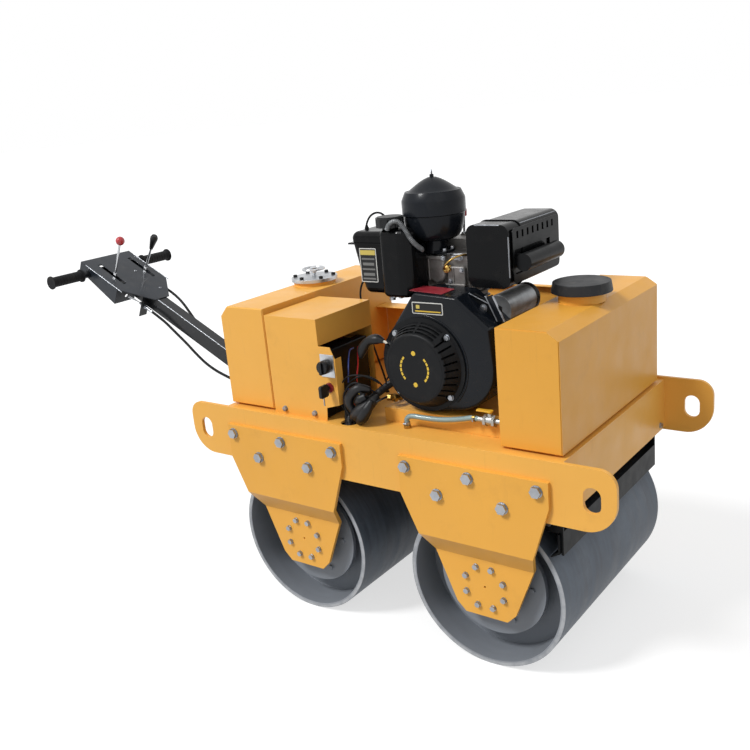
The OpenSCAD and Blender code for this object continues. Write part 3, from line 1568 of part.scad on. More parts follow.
// Hydraulic pump on its foot behind the coupling
module hydraulic_pump() color("#3E5A78") at_crank() {
  y_rod(pump_r, pump_y0, pump_y0 + pump_len, 0, 0);
  y_rod(pump_end_r, pump_y0 + pump_len, pump_y0 + pump_len + pump_end_len, 0, 0);
  block([-pump_r, pump_y0 + pump_foot_w, -crank_h], [pump_r, pump_y0 + 2 * pump_foot_w, 0]);
  block([-pump_r - pump_foot_t, pump_y0, -crank_h], [pump_r + pump_foot_t, pump_y0 + 3 * pump_foot_w,
    pump_foot_t - crank_h]);
  for (s = [-1, 1]) at([s * pump_r / 2, pump_y0 + pump_len / 2, 0]) cylinder(r = pump_port_r,
    h = pump_r + pump_port_h);
}

// Exciter housing that hangs from the deck, with its bored end caps
module exciter_housing() color("#4A4E52") in_frame() difference() {
  union() {
    y_rod(exciter_r, exciter_y0, exciter_y1, crank_x, exciter_z);
    for (y = [exciter_y0, exciter_y1 - ex_rim_t]) y_rod(ex_rim_r, y, y + ex_rim_t, crank_x,
      exciter_z);
    for (y = [exciter_y0 + hanger_w, exciter_y1 - hanger_w]) block([crank_x - hanger_w, y - hanger_t,
      exciter_z], [crank_x + hanger_w, y, deck_low]);
  }
  y_rod(exciter_r - exciter_wall, exciter_y0 + exciter_wall, exciter_y1 - exciter_wall, crank_x,
    exciter_z);
  y_rod(exciter_shaft_r + run_clear, exciter_y0 - over, exciter_y1 + over, crank_x, exciter_z);
}

// Shaft with two eccentric weights and the driven pulley
module exciter_shaft() color("#A2A6AA") in_frame() at([crank_x, 0, exciter_z]) difference() {
  union() {
    y_rod(exciter_shaft_r, exciter_y0 + seat, pulley_y1, 0, 0);
    y_rod(pulley_r, pulley_y0, pulley_y1, 0, 0);
    for (y = [exciter_y0 + hanger_w, -hanger_w - weight_w / 2]) difference() {
      y_rod(weight_r, y, y + weight_w, 0, 0);
      block([-weight_r, y - over, 0], [weight_r, y + weight_w + over, weight_r]);
    }
  }
  y_ring(2 * pulley_r, pulley_r - groove_depth, groove_y - groove_w / 2, groove_y + groove_w / 2, 0, 0);
}

// Folded sheet arm with a round end boss, the cable bracket below the panel's nose
module handle_arm() color("#24272B") on_handle() difference() {
  union() {
    difference() {
      block([-arm_end_u, -arm_w / 2, -arm_h / 2], [arm_start, arm_w / 2, arm_h / 2]);
      block([arm_t - arm_end_u, arm_t - arm_w / 2, -arm_h / 2 - over], [arm_start - arm_t,
        arm_w / 2 - arm_t, arm_h / 2 - arm_t]);
    }
    y_rod(arm_pin_boss_r, -arm_w / 2, arm_w / 2, 0, 0);
    block([-plate_u - arm_t, -cable_plate_half, -cable_plate_h], [-plate_u, -arm_w / 2, arm_h / 2]);
  }
  y_rod(pivot_pin_r + run_clear, -arm_w, arm_w, 0, 0);
  y_rod(bar_d / 2 + seat, -arm_w, arm_w, -bar_u, bar_w);
  y_rod(lever_pin_r + seat, -arm_w, arm_w, -lever_u, lever_w);
  x_rod(adjuster_r + seat, -plate_u - 2 * arm_t, over - plate_u, -adjuster_y, adjuster_w);
}

// Pivot pin, lever shaft and cable adjuster
module handle_pins() color("#C2C5C9") on_handle() {
  reach = lug_out;
  y_rod(pivot_pin_r, -reach - seat, reach + seat, 0, 0);
  both_sides() y_rod(pivot_head_r, reach + seat, reach + seat + pivot_head_t, 0, 0);
  y_rod(lever_pin_r, seat + arm_t - box_half, box_half - arm_t - seat, -lever_u, lever_w);
  x_rod(adjuster_r, -adjuster_u1, -adjuster_u0, -adjuster_y, adjuster_w);
  for (u = [plate_u - seat, plate_u + 3 * arm_t + seat]) at([-u, -adjuster_y, adjuster_w])
    rotate([0, 90, 0]) cylinder(r = adjuster_nut_r, h = 2 * arm_t, $fn = 6);
}

// Control box: a folded hood, open below, whose panel runs out in a nose over the arm
module control_box() color("#2A2E34") on_handle() difference() {
  union() {
    upright(-box_half, box_half) polygon([
      [-box_rear_u, box_top_w], [-box_front_u, box_top_w], [-box_front_u, box_top_w - box_front_h],
        [-box_rear_u, box_top_w - box_rear_h]
    ]);
    at([0, 0, arm_h / 2]) linear_extrude(arm_t) polygon([
      [-box_front_u - over, -box_half], [-shoulder_u, -box_half], [-nose_u, -nose_half], [-nose_u,
        nose_half],
      [-shoulder_u, box_half], [-box_front_u - over, box_half]
    ]);
  }
  block([arm_t - box_rear_u, arm_t - box_half, -box_front_h], [-box_front_u - arm_t, box_half - arm_t,
    arm_h / 2]);
  block([-box_front_u - 2 * arm_t, -arm_w / 2 - seat, -box_front_h], [-box_front_u + over,
    arm_w / 2 + seat, arm_h / 2]);
  y_rod(bar_d / 2 + seat, -box_w, box_w, -bar_u, bar_w);
  for (y = [-lever_y, lever_far_y]) block([-box_rear_u + cut_rear, y - cut_w / 2, arm_h / 2 - over],
    [-box_rear_u + cut_rear + cut_len, y + cut_w / 2, box_top_w + over]);
  x_rod(wire_hole_r, -box_front_u - 2 * arm_t, -box_front_u + over, -lever_y, wire_hole_w);
}

module handlebar() color("#2A2D31") on_handle()
  y_ring(bar_d / 2, bar_d / 2 - bar_wall, -bar_len / 2, bar_len / 2, -bar_u, bar_w);

// Rubber grips with a collar at both ends and shallow rings
module handle_grips() color("#1B1D20") on_handle() both_sides() difference() {
  y0 = bar_len / 2 - grip_len;
  y1 = bar_len / 2 + grip_flange_t;
  union() {
    y_rod(grip_d / 2, y0, y1, -bar_u, bar_w);
    y_rod(grip_flange_r, y0, y0 + grip_flange_t, -bar_u, bar_w);
    y_rod(grip_flange_r, y1 - grip_flange_t, y1, -bar_u, bar_w);
  }
  y_rod(bar_d / 2 + run_clear, y0 - over, bar_len / 2, -bar_u, bar_w);
  for (k = [1 : grip_rings]) y_ring(grip_d, grip_d / 2 - over, y0 + grip_len * k / (grip_rings + 1)
    - over, y0 + grip_len * k / (grip_rings + 1) + over, -bar_u, bar_w);
}

// Lever on the cross shaft: a hub, a flat foot and bar, and a rod above the panel
module lever_stem(y, len) {
  difference() {
    union() {
      y_rod(lever_hub_r, y - lever_hub_len / 2, y + lever_hub_len / 2, 0, 0);
      block([-lever_bar_w / 2, y - lever_bar_t / 2, -lever_foot], [lever_bar_w / 2,
        y + lever_bar_t / 2, lever_bar_h]);
      at([0, y, lever_bar_h - over]) cylinder(r = lever_rod_r, h = len - lever_bar_h + over);
    }
    y_rod(lever_pin_r + run_clear, y - lever_hub_len, y + lever_hub_len, 0, 0);
  }
}

module travel_lever() color("#B9262B") on_handle() at([-lever_u, 0, lever_w]) rotate([0,
  -travel_tilt, 0]) {
  lever_stem(-lever_y, ball_h);
  at([0, -lever_y, ball_h]) sphere(r = ball_r);
}

module vibration_lever() color("#202327") on_handle() at([-lever_u, 0, lever_w]) rotate([0,
  -vibration_tilt, 0]) {
  lever_stem(lever_far_y, knob_foot_h + over);
  at([0, lever_far_y, knob_foot_h]) rotate_extrude() polygon([
    [0, 0], [knob_foot_r, 0], [knob_top_r, knob_h * knob_shares[0]],
      [knob_top_r, knob_h * knob_shares[1]], [knob_top_r * knob_shares[2], knob_h], [0, knob_h]
  ]);
}

module control_cables() color("#17191B") in_frame() {
  cord(near_cable_route, cable_r, 8);
  cord(far_cable_route, cable_r, 8);
}

side_plates();
cross_members();
deck_plate();
engine_base();
drum_brackets();
bracket_bolts();
axle_stubs();
drum_motors();
rear_drum();
front_drum();
drum_bearings();
scraper_bars();
scraper_blades();
spray_pipes();
front_tank();
front_tank_lid();
water_valve();
valve_handle();
water_hose();
rear_tank();
filler_flange();
filler_handwheel();
small_bolts();
battery_cover();
battery();
main_switch();
switch_panel();
ignition_key();
wiring_harness();
crankcase();
cylinder_block();
rocker_cover();
blower_housing();
recoil_housing();
recoil_grip();
recoil_rope();
flywheel();
crankshaft();
fuel_tank();
fuel_cap();
air_filter();
air_filter_lid();
muffler();
muffler_guard();
starter_motor();
throttle_lever();
decompression_lever();
drive_belt();
belt_guard();
hydraulic_pump();
exciter_housing();
exciter_shaft();
handle_arm();
handle_pins();
control_box();
handlebar();
handle_grips();
travel_lever();
vibration_lever();
control_cables();
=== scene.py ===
"""Looks of a walk-behind double drum roller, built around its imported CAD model."""

import math

import bmesh
import bpy
from mathutils import Matrix, Vector


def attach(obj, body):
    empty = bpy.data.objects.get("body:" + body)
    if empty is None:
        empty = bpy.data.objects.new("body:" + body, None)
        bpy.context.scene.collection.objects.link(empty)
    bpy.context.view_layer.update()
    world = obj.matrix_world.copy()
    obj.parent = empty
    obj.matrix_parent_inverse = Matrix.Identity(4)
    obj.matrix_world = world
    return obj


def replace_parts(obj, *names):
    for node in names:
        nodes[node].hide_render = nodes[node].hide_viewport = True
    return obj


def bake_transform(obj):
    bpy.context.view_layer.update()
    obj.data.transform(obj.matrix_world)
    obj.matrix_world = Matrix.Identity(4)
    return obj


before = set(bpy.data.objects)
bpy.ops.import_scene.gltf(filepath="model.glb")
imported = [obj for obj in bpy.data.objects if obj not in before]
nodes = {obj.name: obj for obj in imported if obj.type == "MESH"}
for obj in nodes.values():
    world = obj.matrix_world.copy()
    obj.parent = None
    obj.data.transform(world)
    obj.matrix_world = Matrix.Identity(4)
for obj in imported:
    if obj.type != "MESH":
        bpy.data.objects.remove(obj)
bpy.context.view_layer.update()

MM = 0.001
MID_X = 367.946  # mm in X from the middle between the drums to the middle of the whole machine
CRANK = Vector((116, 0, 743))  # the crankshaft's axis
PIVOT = Vector((-580, 0, 502))  # the handle's hinge
HANDLE_ANGLE = math.radians(26.8)
DRUM_RADIUS, DRUM_END = 0.2125, 0.3
UP = (0, 0, 1)
NEAR = (0, -1, 0)  # towards the side with the starter
ACROSS = Vector((0, 1, 0))


def row(x, y, z):
    """A point in mm from the middle between the drums, in metres of the shared frame."""
    return Vector(((x + MID_X) * MM, y * MM, z * MM))


def crank(x, y, z):
    """A point in mm from the crankshaft's axis."""
    return row(CRANK.x + x, CRANK.y + y, CRANK.z + z)


def on_handle(u, y, w):
    """A point of the handle: u from the pivot to the operator, w up from the arm."""
    c, s = math.cos(HANDLE_ANGLE), math.sin(HANDLE_ANGLE)
    return row(PIVOT.x - u * c + w * s, y, PIVOT.z + u * s + w * c)


# ---------------------------------------------------------------- materials


class Shade:
    """A node material that is put together in a few lines."""

    def __init__(self, name):
        self.mat = bpy.data.materials.new(name)
        self.mat.use_nodes = True
        self.tree = self.mat.node_tree
        self.tree.nodes.clear()
        self.out = self.tree.nodes.new("ShaderNodeOutputMaterial")
        self.bsdf = self.tree.nodes.new("ShaderNodeBsdfPrincipled")
        self.tree.links.new(self.bsdf.outputs[0], self.out.inputs[0])
        self.place = self.tree.nodes.new("ShaderNodeTexCoord").outputs["Object"]

    def node(self, kind, props=None, **sockets):
        made = self.tree.nodes.new("ShaderNode" + kind)
        for key, value in (props or {}).items():
            setattr(made, key, value)
        for key, value in sockets.items():
            self.put(made.inputs[int(key[1:]) if key[0] == "_" else key.replace("_", " ")], value)
        return made

    def put(self, socket, value):
        if isinstance(value, bpy.types.NodeSocket):
            self.tree.links.new(value, socket)
        else:
            socket.default_value = value

    def noise(self, scale, detail=4.0, rough=0.55, where=None, stretch=None):
        where = where or self.place
        if stretch:
            where = self.node("Mapping", Vector=where, Scale=stretch).outputs[0]
        made = self.node("TexNoise", Vector=where, Scale=scale, Detail=detail, Roughness=rough)
        return made.outputs["Fac"]

    def voronoi(self, scale):
        return self.node("TexVoronoi", {"feature": "F1"}, Vector=self.place, Scale=scale).outputs["Distance"]

    def ramp(self, fac, low, high, to_low=0.0, to_high=1.0):
        made = self.node("MapRange", Value=fac)
        for key, value in zip((1, 2, 3, 4), (low, high, to_low, to_high)):
            made.inputs[key].default_value = value
        return made.outputs[0]

    def math(self, operation, a, b=0.0):
        return self.node("Math", {"operation": operation}, _0=a, _1=b).outputs[0]

    def mix(self, fac, a, b, blend="MIX"):
        made = self.node("Mix", {"data_type": "RGBA", "blend_type": blend})
        for key, value in ((0, fac), (6, a), (7, b)):
            self.put(made.inputs[key], value)
        return made.outputs[2]

    def bump(self, height, distance, strength=1.0):
        made = self.node("Bump", Height=height, Distance=distance, Strength=strength)
        self.put(self.bsdf.inputs["Normal"], made.outputs[0])

    def set(self, **values):
        for key, value in values.items():
            self.put(self.bsdf.inputs[key.replace("_", " ")], value)
        return self


def srgb(code, scale=1.0):
    """A linear colour from the six digits of a written one, made lighter or darker by scale."""
    parts = [int(code[i : i + 2], 16) / 255 for i in (0, 2, 4)]
    red, green, blue = [c / 12.92 if c <= 0.04045 else ((c + 0.055) / 1.055) ** 2.4 for c in parts]
    return (red * scale, green * scale, blue * scale, 1.0)


def plain(name, code, rough, metal=0.0, mottle=0.12, mottle_scale=7.0, grain_scale=900.0,
          grain=0.00002, coat=0.0, coat_rough=0.1, level=0.5, dust=0.0):
    """A surface whose colour, gloss and grain vary as a real one's do."""
    s = Shade(name)
    base = s.mix(s.ramp(s.noise(mottle_scale), 0.3, 0.7), srgb(code, 1 - mottle), srgb(code, 1 + mottle))
    if dust:
        specks = s.ramp(s.noise(mottle_scale * 3.1, 8.0, 0.7), 0.52, 0.78, 0.0, dust)
        base = s.mix(specks, base, srgb("8C857A"))
    gloss = s.ramp(s.noise(mottle_scale * 4), 0.3, 0.7, rough - 0.06, rough + 0.06)
    s.set(Base_Color=base, Roughness=gloss, Metallic=metal, Coat_Weight=coat,
          Coat_Roughness=coat_rough, Specular_IOR_Level=level)
    s.bump(s.noise(grain_scale, 3.0), grain)
    return s.mat


def yellow_paint(name, code="EBAE4E"):
    """Powder coat: orange peel, a little shop dust and pale rubbed specks."""
    s = Shade(name)
    base = s.mix(s.ramp(s.noise(2.6, 5.0), 0.3, 0.7), srgb(code, 0.93), srgb(code, 1.03))
    grime = s.ramp(s.noise(9.0, 9.0, 0.72), 0.56, 0.8, 0.0, 0.22)
    base = s.mix(grime, base, srgb("A5743A"))
    streaks = s.ramp(s.noise(1.0, 6.0, 0.7, stretch=(90, 90, 7)), 0.6, 0.82, 0.0, 0.16)
    base = s.mix(streaks, base, srgb("8E6A3C"))
    rub = s.ramp(s.noise(60.0, 4.0, 0.8), 0.71, 0.76, 0.0, 0.5)
    base = s.mix(rub, base, srgb("F5CE92"))
    s.set(Base_Color=base, Roughness=s.ramp(s.noise(14.0), 0.3, 0.7, 0.36, 0.52),
          Coat_Weight=0.12, Coat_Roughness=0.22, Specular_IOR_Level=0.3)
    s.bump(s.noise(420.0, 2.0), 0.00005, 0.6)
    return s.mat


def drum_paint(name, centre_x):
    """Thin grey paint over rolled steel: rolling scuffs round the drum and bare patches."""
    s = Shade(name)
    parts = s.node("SeparateXYZ", Vector=s.place).outputs
    x = s.math("SUBTRACT", parts[0], (centre_x + MID_X) * MM)
    z = s.math("SUBTRACT", parts[2], DRUM_RADIUS)
    angle = s.math("ARCTAN2", z, x)
    radius = s.math("SQRT", s.math("ADD", s.math("MULTIPLY", x, x), s.math("MULTIPLY", z, z)))
    turn = s.node("CombineXYZ", X=s.math("SINE", angle), Y=parts[1], Z=s.math("COSINE", angle)).outputs[0]
    round_it = s.noise(1.0, 7.0, 0.62, where=turn, stretch=(1.4, 46.0, 1.4))
    patch = s.noise(5.5, 8.0, 0.62)
    base = s.mix(s.ramp(round_it, 0.34, 0.66), srgb("3F4650"), srgb("59626D"))
    base = s.mix(s.ramp(patch, 0.5, 0.72, 0.0, 0.6), base, srgb("6B747E"))
    base = s.mix(s.ramp(s.noise(26.0, 9.0, 0.75), 0.6, 0.78, 0.0, 0.55), base, srgb("3E3B37"))
    edge = s.ramp(s.math("ABSOLUTE", parts[1]), DRUM_END - 0.0025, DRUM_END - 0.0002)
    base = s.mix(s.math("MULTIPLY", edge, s.ramp(s.noise(34.0), 0.3, 0.6, 0.55, 0.95)), base, srgb("ABADB0"))
    # Painted light: every surface nearer the axis than the outer shell is mixed towards a paler grey, standing in
    # for light falling into the drum
    painted_light_inside = s.ramp(radius, DRUM_RADIUS - 0.009, DRUM_RADIUS - 0.008, 0.75, 0.0)
    base = s.mix(painted_light_inside, base, srgb("868A90"))
    s.set(Base_Color=base, Metallic=0.1, Roughness=s.ramp(round_it, 0.3, 0.7, 0.38, 0.58),
          Specular_IOR_Level=0.35)
    height = s.math("ADD", s.math("MULTIPLY", round_it, 0.6), s.math("MULTIPLY", s.noise(130.0, 5.0), 0.5))
    s.bump(height, 0.0004, 0.5)
    return s.mat


def brushed(name, code, rough, metal=1.0, stretch=(1, 1, 1), depth=0.00003):
    """Drawn or turned metal: fine lines along one direction."""
    s = Shade(name)
    lines = s.noise(160.0, 3.0, 0.6, stretch=stretch)
    base = s.mix(s.ramp(s.noise(24.0, 6.0), 0.35, 0.65), srgb(code, 0.84), srgb(code, 1.08))
    s.set(Base_Color=base, Metallic=metal, Roughness=s.ramp(lines, 0.3, 0.7, rough * 0.8, rough * 1.25))
    s.bump(lines, depth, 0.6)
    return s.mat


def cast(name, code, rough, metal, depth=0.00025):
    """Sand or die casting: pebbled skin, oil film in places."""
    s = Shade(name)
    base = s.mix(s.ramp(s.noise(30.0, 8.0, 0.7), 0.35, 0.7), srgb(code, 0.7), srgb(code, 1.15))
    oil = s.ramp(s.noise(8.0, 5.0), 0.5, 0.7)
    base = s.mix(s.math("MULTIPLY", oil, 0.45), base, srgb("2A2825"))
    s.set(Base_Color=base, Metallic=metal, Roughness=s.ramp(oil, 0.0, 1.0, rough, rough * 0.6))
    s.bump(s.math("ADD", s.noise(520.0, 4.0), s.math("MULTIPLY", s.voronoi(300.0), 0.6)), depth, 0.6)
    return s.mat


yellow = yellow_paint("yellow_paint")
yellow_deck = yellow_paint("yellow_deck_paint", "E9AC4E")
yellow_bracket = yellow_paint("yellow_bracket_paint", "E6A845")
yellow_tank = yellow_paint("yellow_tank_paint", "E1A340")
black_gloss = plain("black_gloss_paint", "0A0B0D", 0.22, coat=0.1, coat_rough=0.05, mottle=0.25,
                    grain_scale=380, grain=0.00004, dust=0.02, level=0.08)
filter_black = plain("filter_black_paint", "15181D", 0.3, coat=0.12, coat_rough=0.1, mottle=0.2,
                     grain_scale=420, grain=0.00004, dust=0.03, level=0.1)
black_satin = plain("black_satin_paint", "0E1012", 0.36, coat=0.08, coat_rough=0.15, mottle=0.25,
                    grain_scale=500, grain=0.00004, dust=0.03, level=0.1)
cowl_black = plain("cowl_black_paint", "0C1016", 0.28, coat=0.18, coat_rough=0.06, mottle=0.2,
                   grain_scale=420, grain=0.00005, dust=0.02, level=0.12)
recoil_black = plain("recoil_black", "121315", 0.46, mottle=0.2, grain_scale=700, grain=0.00004, dust=0.04,
                     level=0.16)
panel_blue = plain("panel_blue_black", "1B2129", 0.38, coat=0.15, coat_rough=0.2, mottle=0.2,
                   grain_scale=500, grain=0.00004, dust=0.08, level=0.3)
frame_black = plain("frame_black", "0B0D0F", 0.4, mottle=0.3, grain_scale=300, grain=0.00008, dust=0.04,
                    level=0.1)
arm_paint = plain("arm_paint", "16181B", 0.34, coat=0.2, coat_rough=0.12, mottle=0.3, grain_scale=300,
                  grain=0.00006, dust=0.08, level=0.25)
rubber = plain("black_rubber", "141517", 0.72, mottle=0.2, grain_scale=1400, grain=0.00006, dust=0.12,
               level=0.25)
sleeve = plain("loom_sleeve", "121214", 0.42, mottle=0.3, grain_scale=900, grain=0.0001, dust=0.1, level=0.35)
plastic = plain("black_plastic", "131416", 0.42, mottle=0.15, grain_scale=1600, grain=0.00004, level=0.3)
lid_plastic = plain("lid_plastic", "17181B", 0.5, mottle=0.2, grain_scale=1200, grain=0.00005, dust=0.15,
                    level=0.3)
red_plastic = plain("red_plastic", "B3202B", 0.24, coat=0.4, coat_rough=0.06, mottle=0.08)
dark_red = plain("dark_red_plastic", "7C1D22", 0.34, mottle=0.12)
wire_blue = plain("wire_blue", "27408B", 0.4, mottle=0.1)
zinc = brushed("zinc_steel", "A3A6AB", 0.32)
# Pale metal strips that are painted highlights on the upper edges of the arm and the control box
painted_highlight_strip = brushed("painted_highlight_strip", "A9ADB3", 0.3, metal=0.4)
# Pale lines that are painted highlights on the muffler's bends and lip
painted_highlight_line = brushed("painted_highlight_line", "8A8E94", 0.3, metal=0.3)
bright = brushed("bright_steel", "C9CBCE", 0.2)
turned = brushed("turned_steel", "9B9EA2", 0.32, stretch=(1, 8, 1))
brass = brushed("brass", "B49353", 0.36)
valve_silver = brushed("valve_silver", "B4B5B2", 0.36)
valve_yellow = plain("valve_lever_yellow", "D9A62E", 0.4, mottle=0.12)
aluminium = brushed("satin_aluminium", "C3C5C8", 0.4, depth=0.00002)
head_metal = cast("head_casting", "8E8B88", 0.52, 0.5)
case_metal = cast("case_casting", "3A3D41", 0.6, 0.25)
starter_metal = cast("starter_casting", "A2A5A8", 0.42, 0.7, 0.00008)
blue_metal = cast("pump_casting", "33383F", 0.55, 0.35)
rope_white = plain("rope_fibre", "CFC9BA", 0.8, grain_scale=2500, grain=0.0002)
braid = plain("braided_hose", "6F7173", 0.42, metal=0.35, mottle=0.35, mottle_scale=60.0, grain_scale=1800,
              grain=0.0002)
hose_grey = plain("water_hose_grey", "7F9494", 0.3, coat=0.4, coat_rough=0.1, mottle=0.15, grain_scale=200,
                  grain=0.00005)
print_skin = {"grain_scale": 600, "grain": 0.00001}
label_black = plain("plate_black", "141415", 0.35, mottle=0.1, level=0.3, **print_skin)
label_white = plain("plate_white", "D4D3CE", 0.4, mottle=0.05, **print_skin)
label_grey = plain("plate_grey", "6B6B69", 0.4, mottle=0.15, **print_skin)
label_red = plain("plate_red", "8E2731", 0.36, mottle=0.2, mottle_scale=30.0, **print_skin)
label_yellow = plain("plate_yellow", "C9B458", 0.4, mottle=0.08, **print_skin)
orange_mark = plain("ring_yellow", "D8B43A", 0.5, mottle=0.1, **print_skin)


# ---------------------------------------------------------------- mesh tools


def piece(name, mesh, mat, body="frame", smooth=40.0, bevel=0.0):
    """A finished object that rides on a body."""
    obj = bpy.data.objects.new(name, mesh)
    bpy.context.scene.collection.objects.link(obj)
    mesh.materials.append(mat)
    mesh.polygons.foreach_set("use_smooth", [True] * len(mesh.polygons))
    mesh.set_sharp_from_angle(angle=math.radians(smooth))
    if bevel:
        round_edges(obj, bevel)
    if body:
        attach(obj, body)
    return obj


def round_edges(obj, width, segments=2, weld=False):
    """Rounds the edges by this width in mm; weld first joins the flat faces of a CAD solid."""
    if weld:
        obj.modifiers.new("weld", "WELD").merge_threshold = 0.00001
        flat = obj.modifiers.new("flat", "DECIMATE")
        flat.decimate_type = "DISSOLVE"
        flat.angle_limit = math.radians(0.6)
    b = obj.modifiers.new("edges", "BEVEL")
    b.width = width * MM
    b.segments = segments
    b.limit_method = "ANGLE"
    b.angle_limit = math.radians(32)
    b.use_clamp_overlap = True
    obj.modifiers.new("shading", "WEIGHTED_NORMAL").keep_sharp = True


def mesh_from(name, verts, faces):
    """A mesh whose faces all look outwards."""
    mesh = bpy.data.meshes.new(name)
    mesh.from_pydata([tuple(v) for v in verts], [], faces)
    bm = bmesh.new()
    bm.from_mesh(mesh)
    bmesh.ops.recalc_face_normals(bm, faces=bm.faces)
    bm.to_mesh(mesh)
    bm.free()
    return mesh


def catmull(points, steps):
    """A smooth line through the points."""
    out = []
    for i in range(len(points) - 1):
        a, b, c, d = (points[max(0, min(len(points) - 1, i + k))] for k in (-1, 0, 1, 2))
        for j in range(steps):
            t = j / steps
            out.append(0.5 * (2 * b + (c - a) * t + (2 * a - 5 * b + 4 * c - d) * t * t
                              + (3 * b - a - 3 * c + d) * t * t * t))
    return out + [points[-1]]


def heading(path, i):
    """The direction of a path at its point i."""
    return (path[min(i + 1, len(path) - 1)] - path[max(i - 1, 0)]).normalized()


def between(values, part):
    """The value at this part of the way along a row of values."""
    at = part * (len(values) - 1)
    k = min(int(at), len(values) - 2)
    return values[k] * (1 - at + k) + values[k + 1] * (at - k)


def rings_along(path, radii, sides):
    """Rings of points round a path, turned as little as can be from one to the next."""
    normal = None
    for i, p in enumerate(path):
        ahead = heading(path, i)
        if normal is None:
            start = Vector(UP if abs(ahead.z) < 0.9 else (0, 1, 0))
            normal = (start - ahead * start.dot(ahead)).normalized()
        else:
            normal = (normal - ahead * normal.dot(ahead)).normalized()
        side = ahead.cross(normal)
        yield [p + radii[i] * (math.cos(a) * normal + math.sin(a) * side)
               for a in (2 * math.pi * k / sides for k in range(sides))]


def skin(rings, closed_ends=True):
    """Vertices and faces of a skin over rings of the same count."""
    rings = list(rings)
    n = len(rings[0])
    verts = [v for ring in rings for v in ring]
    faces = [(i * n + j, i * n + (j + 1) % n, (i + 1) * n + (j + 1) % n, (i + 1) * n + j)
             for i in range(len(rings) - 1) for j in range(n)]
    if closed_ends:
        faces += [tuple(range(n))[::-1], tuple(range((len(rings) - 1) * n, len(rings) * n))]
    return verts, faces


def tube(name, path, radius, mat, body="frame", sides=14, ribs=None):
    """A tube along a path in metres; radius in mm, ribs = (pitch mm, depth mm)."""
    radii = [radius * MM] * len(path)
    if ribs:
        pitch, depth = ribs
        total = sum((b - a).length for a, b in zip(path, path[1:]))
        count = max(8, int(total / (pitch * MM)) * 4)
        path = [along(path, total * k / count) for k in range(count + 1)]
        radii = [(radius - (depth if k % 4 in (2, 3) else 0)) * MM for k in range(count + 1)]
    verts, faces = skin(rings_along(path, radii, sides))
    return piece(name, mesh_from(name, verts, faces), mat, body)


def along(path, distance):
    """The point this far along a path."""
    for a, b in zip(path, path[1:]):
        step = (b - a).length
        if distance <= step:
            return a.lerp(b, distance / step if step else 0)
        distance -= step
    return path[-1]


def basis(axis, up=UP):
    """A rotation whose local z points along an axis."""
    z = Vector(axis).normalized()
    up = Vector(up)
    if abs(z.dot(up)) > 0.98:
        up = Vector((0, 1, 0))
    x = up.cross(z).normalized()
    return Matrix((x, z.cross(x), z)).transposed()


def lathe(name, profile, centre, axis, mat, body="frame", segments=48, smooth=35.0):
    """A turned piece: profile of (radius, height) in mm round an axis through centre."""
    turn = basis(axis)
    verts, faces, ring_at = [], [], []
    for r, h in profile:
        if r < 1e-6:
            ring_at.append((len(verts), 1))
            verts.append(centre + turn @ Vector((0, 0, h * MM)))
        else:
            ring_at.append((len(verts), segments))
            for k in range(segments):
                a = 2 * math.pi * k / segments
                verts.append(centre + turn @ Vector((r * MM * math.cos(a), r * MM * math.sin(a), h * MM)))
    for (a, na), (b, nb) in zip(ring_at, ring_at[1:]):
        for k in range(segments):
            k1 = (k + 1) % segments
            if na == 1:
                faces.append((a, b + k1, b + k))
            elif nb == 1:
                faces.append((a + k, a + k1, b))
            else:
                faces.append((a + k, a + k1, b + k1, b + k))
    for at, n in (ring_at[0], ring_at[-1]):
        if n > 1:
            faces.append(tuple(range(at, at + n)))
    return piece(name, mesh_from(name, verts, faces), mat, body, smooth)


def hexagon(r):
    return [(r * math.cos(math.radians(60 * k + 30)), r * math.sin(math.radians(60 * k + 30)))
            for k in range(6)]


def rounded(w, h, r):
    """Outline of a rectangle with round corners, in mm."""
    out, steps = [], 5
    for cx, cy, a0 in ((1, 1, 0), (-1, 1, 90), (-1, -1, 180), (1, -1, 270)):
        for k in range(steps + 1):
            a = math.radians(a0 + 90 * k / steps)
            out.append((cx * (w / 2 - r) + r * math.cos(a), cy * (h / 2 - r) + r * math.sin(a)))
    return out


def slab(name, outline, low, high, centre, axis, mat, body="frame", up=UP, bevel=0.4):
    """A plate with this outline in mm, from low to high along an axis through centre."""
    turn = basis(axis, up)
    n = len(outline)
    verts = [centre + turn @ Vector((x * MM, y * MM, h * MM)) for h in (low, high) for x, y in outline]
    faces = [tuple(range(n))[::-1], tuple(range(n, 2 * n))]
    faces += [(k, (k + 1) % n, n + (k + 1) % n, n + k) for k in range(n)]
    return piece(name, mesh_from(name, verts, faces), mat, body, 35.0, bevel)


def joined(name, parts, body="frame"):
    """One object from several, with their materials."""
    dg = bpy.context.evaluated_depsgraph_get()
    bm = bmesh.new()
    mats = []
    for p in parts:
        dg.update()
        done = p.evaluated_get(dg).to_mesh()
        done.transform(p.matrix_world)
        first = len(bm.faces)
        bm.from_mesh(done)
        bm.faces.ensure_lookup_table()
        for f in bm.faces[first:]:
            m = p.data.materials[f.material_index]
            if m not in mats:
                mats.append(m)
            f.material_index = mats.index(m)
        p.evaluated_get(dg).to_mesh_clear()
    mesh = bpy.data.meshes.new(name)
    bm.to_mesh(mesh)
    bm.free()
    for p in parts:
        bpy.data.objects.remove(p)
    obj = bpy.data.objects.new(name, mesh)
    bpy.context.scene.collection.objects.link(obj)
    for m in mats:
        mesh.materials.append(m)
    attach(obj, body)
    return obj


def bolt(name, at, axis, r, height, washer):
    """A hexagon screw of the frame with its washer and chamfered head."""
    thick = 1.2
    head = slab(name + "_head", hexagon(r), thick, thick + height, at, axis, zinc, None, bevel=0.6)
    ring = lathe(name + "_washer", [(0, 0), (washer, 0), (washer, thick), (0, thick)], at, axis, zinc, None,
                 segments=24)
    return joined(name, [head, ring])


def screw_row(label, places, axis, r, height):
    for i, p in enumerate(places):
        bolt("%s_%d" % (label, i), row(*p), axis, r, height, r * 1.25)


# ---------------------------------------------------------------- CAD nodes


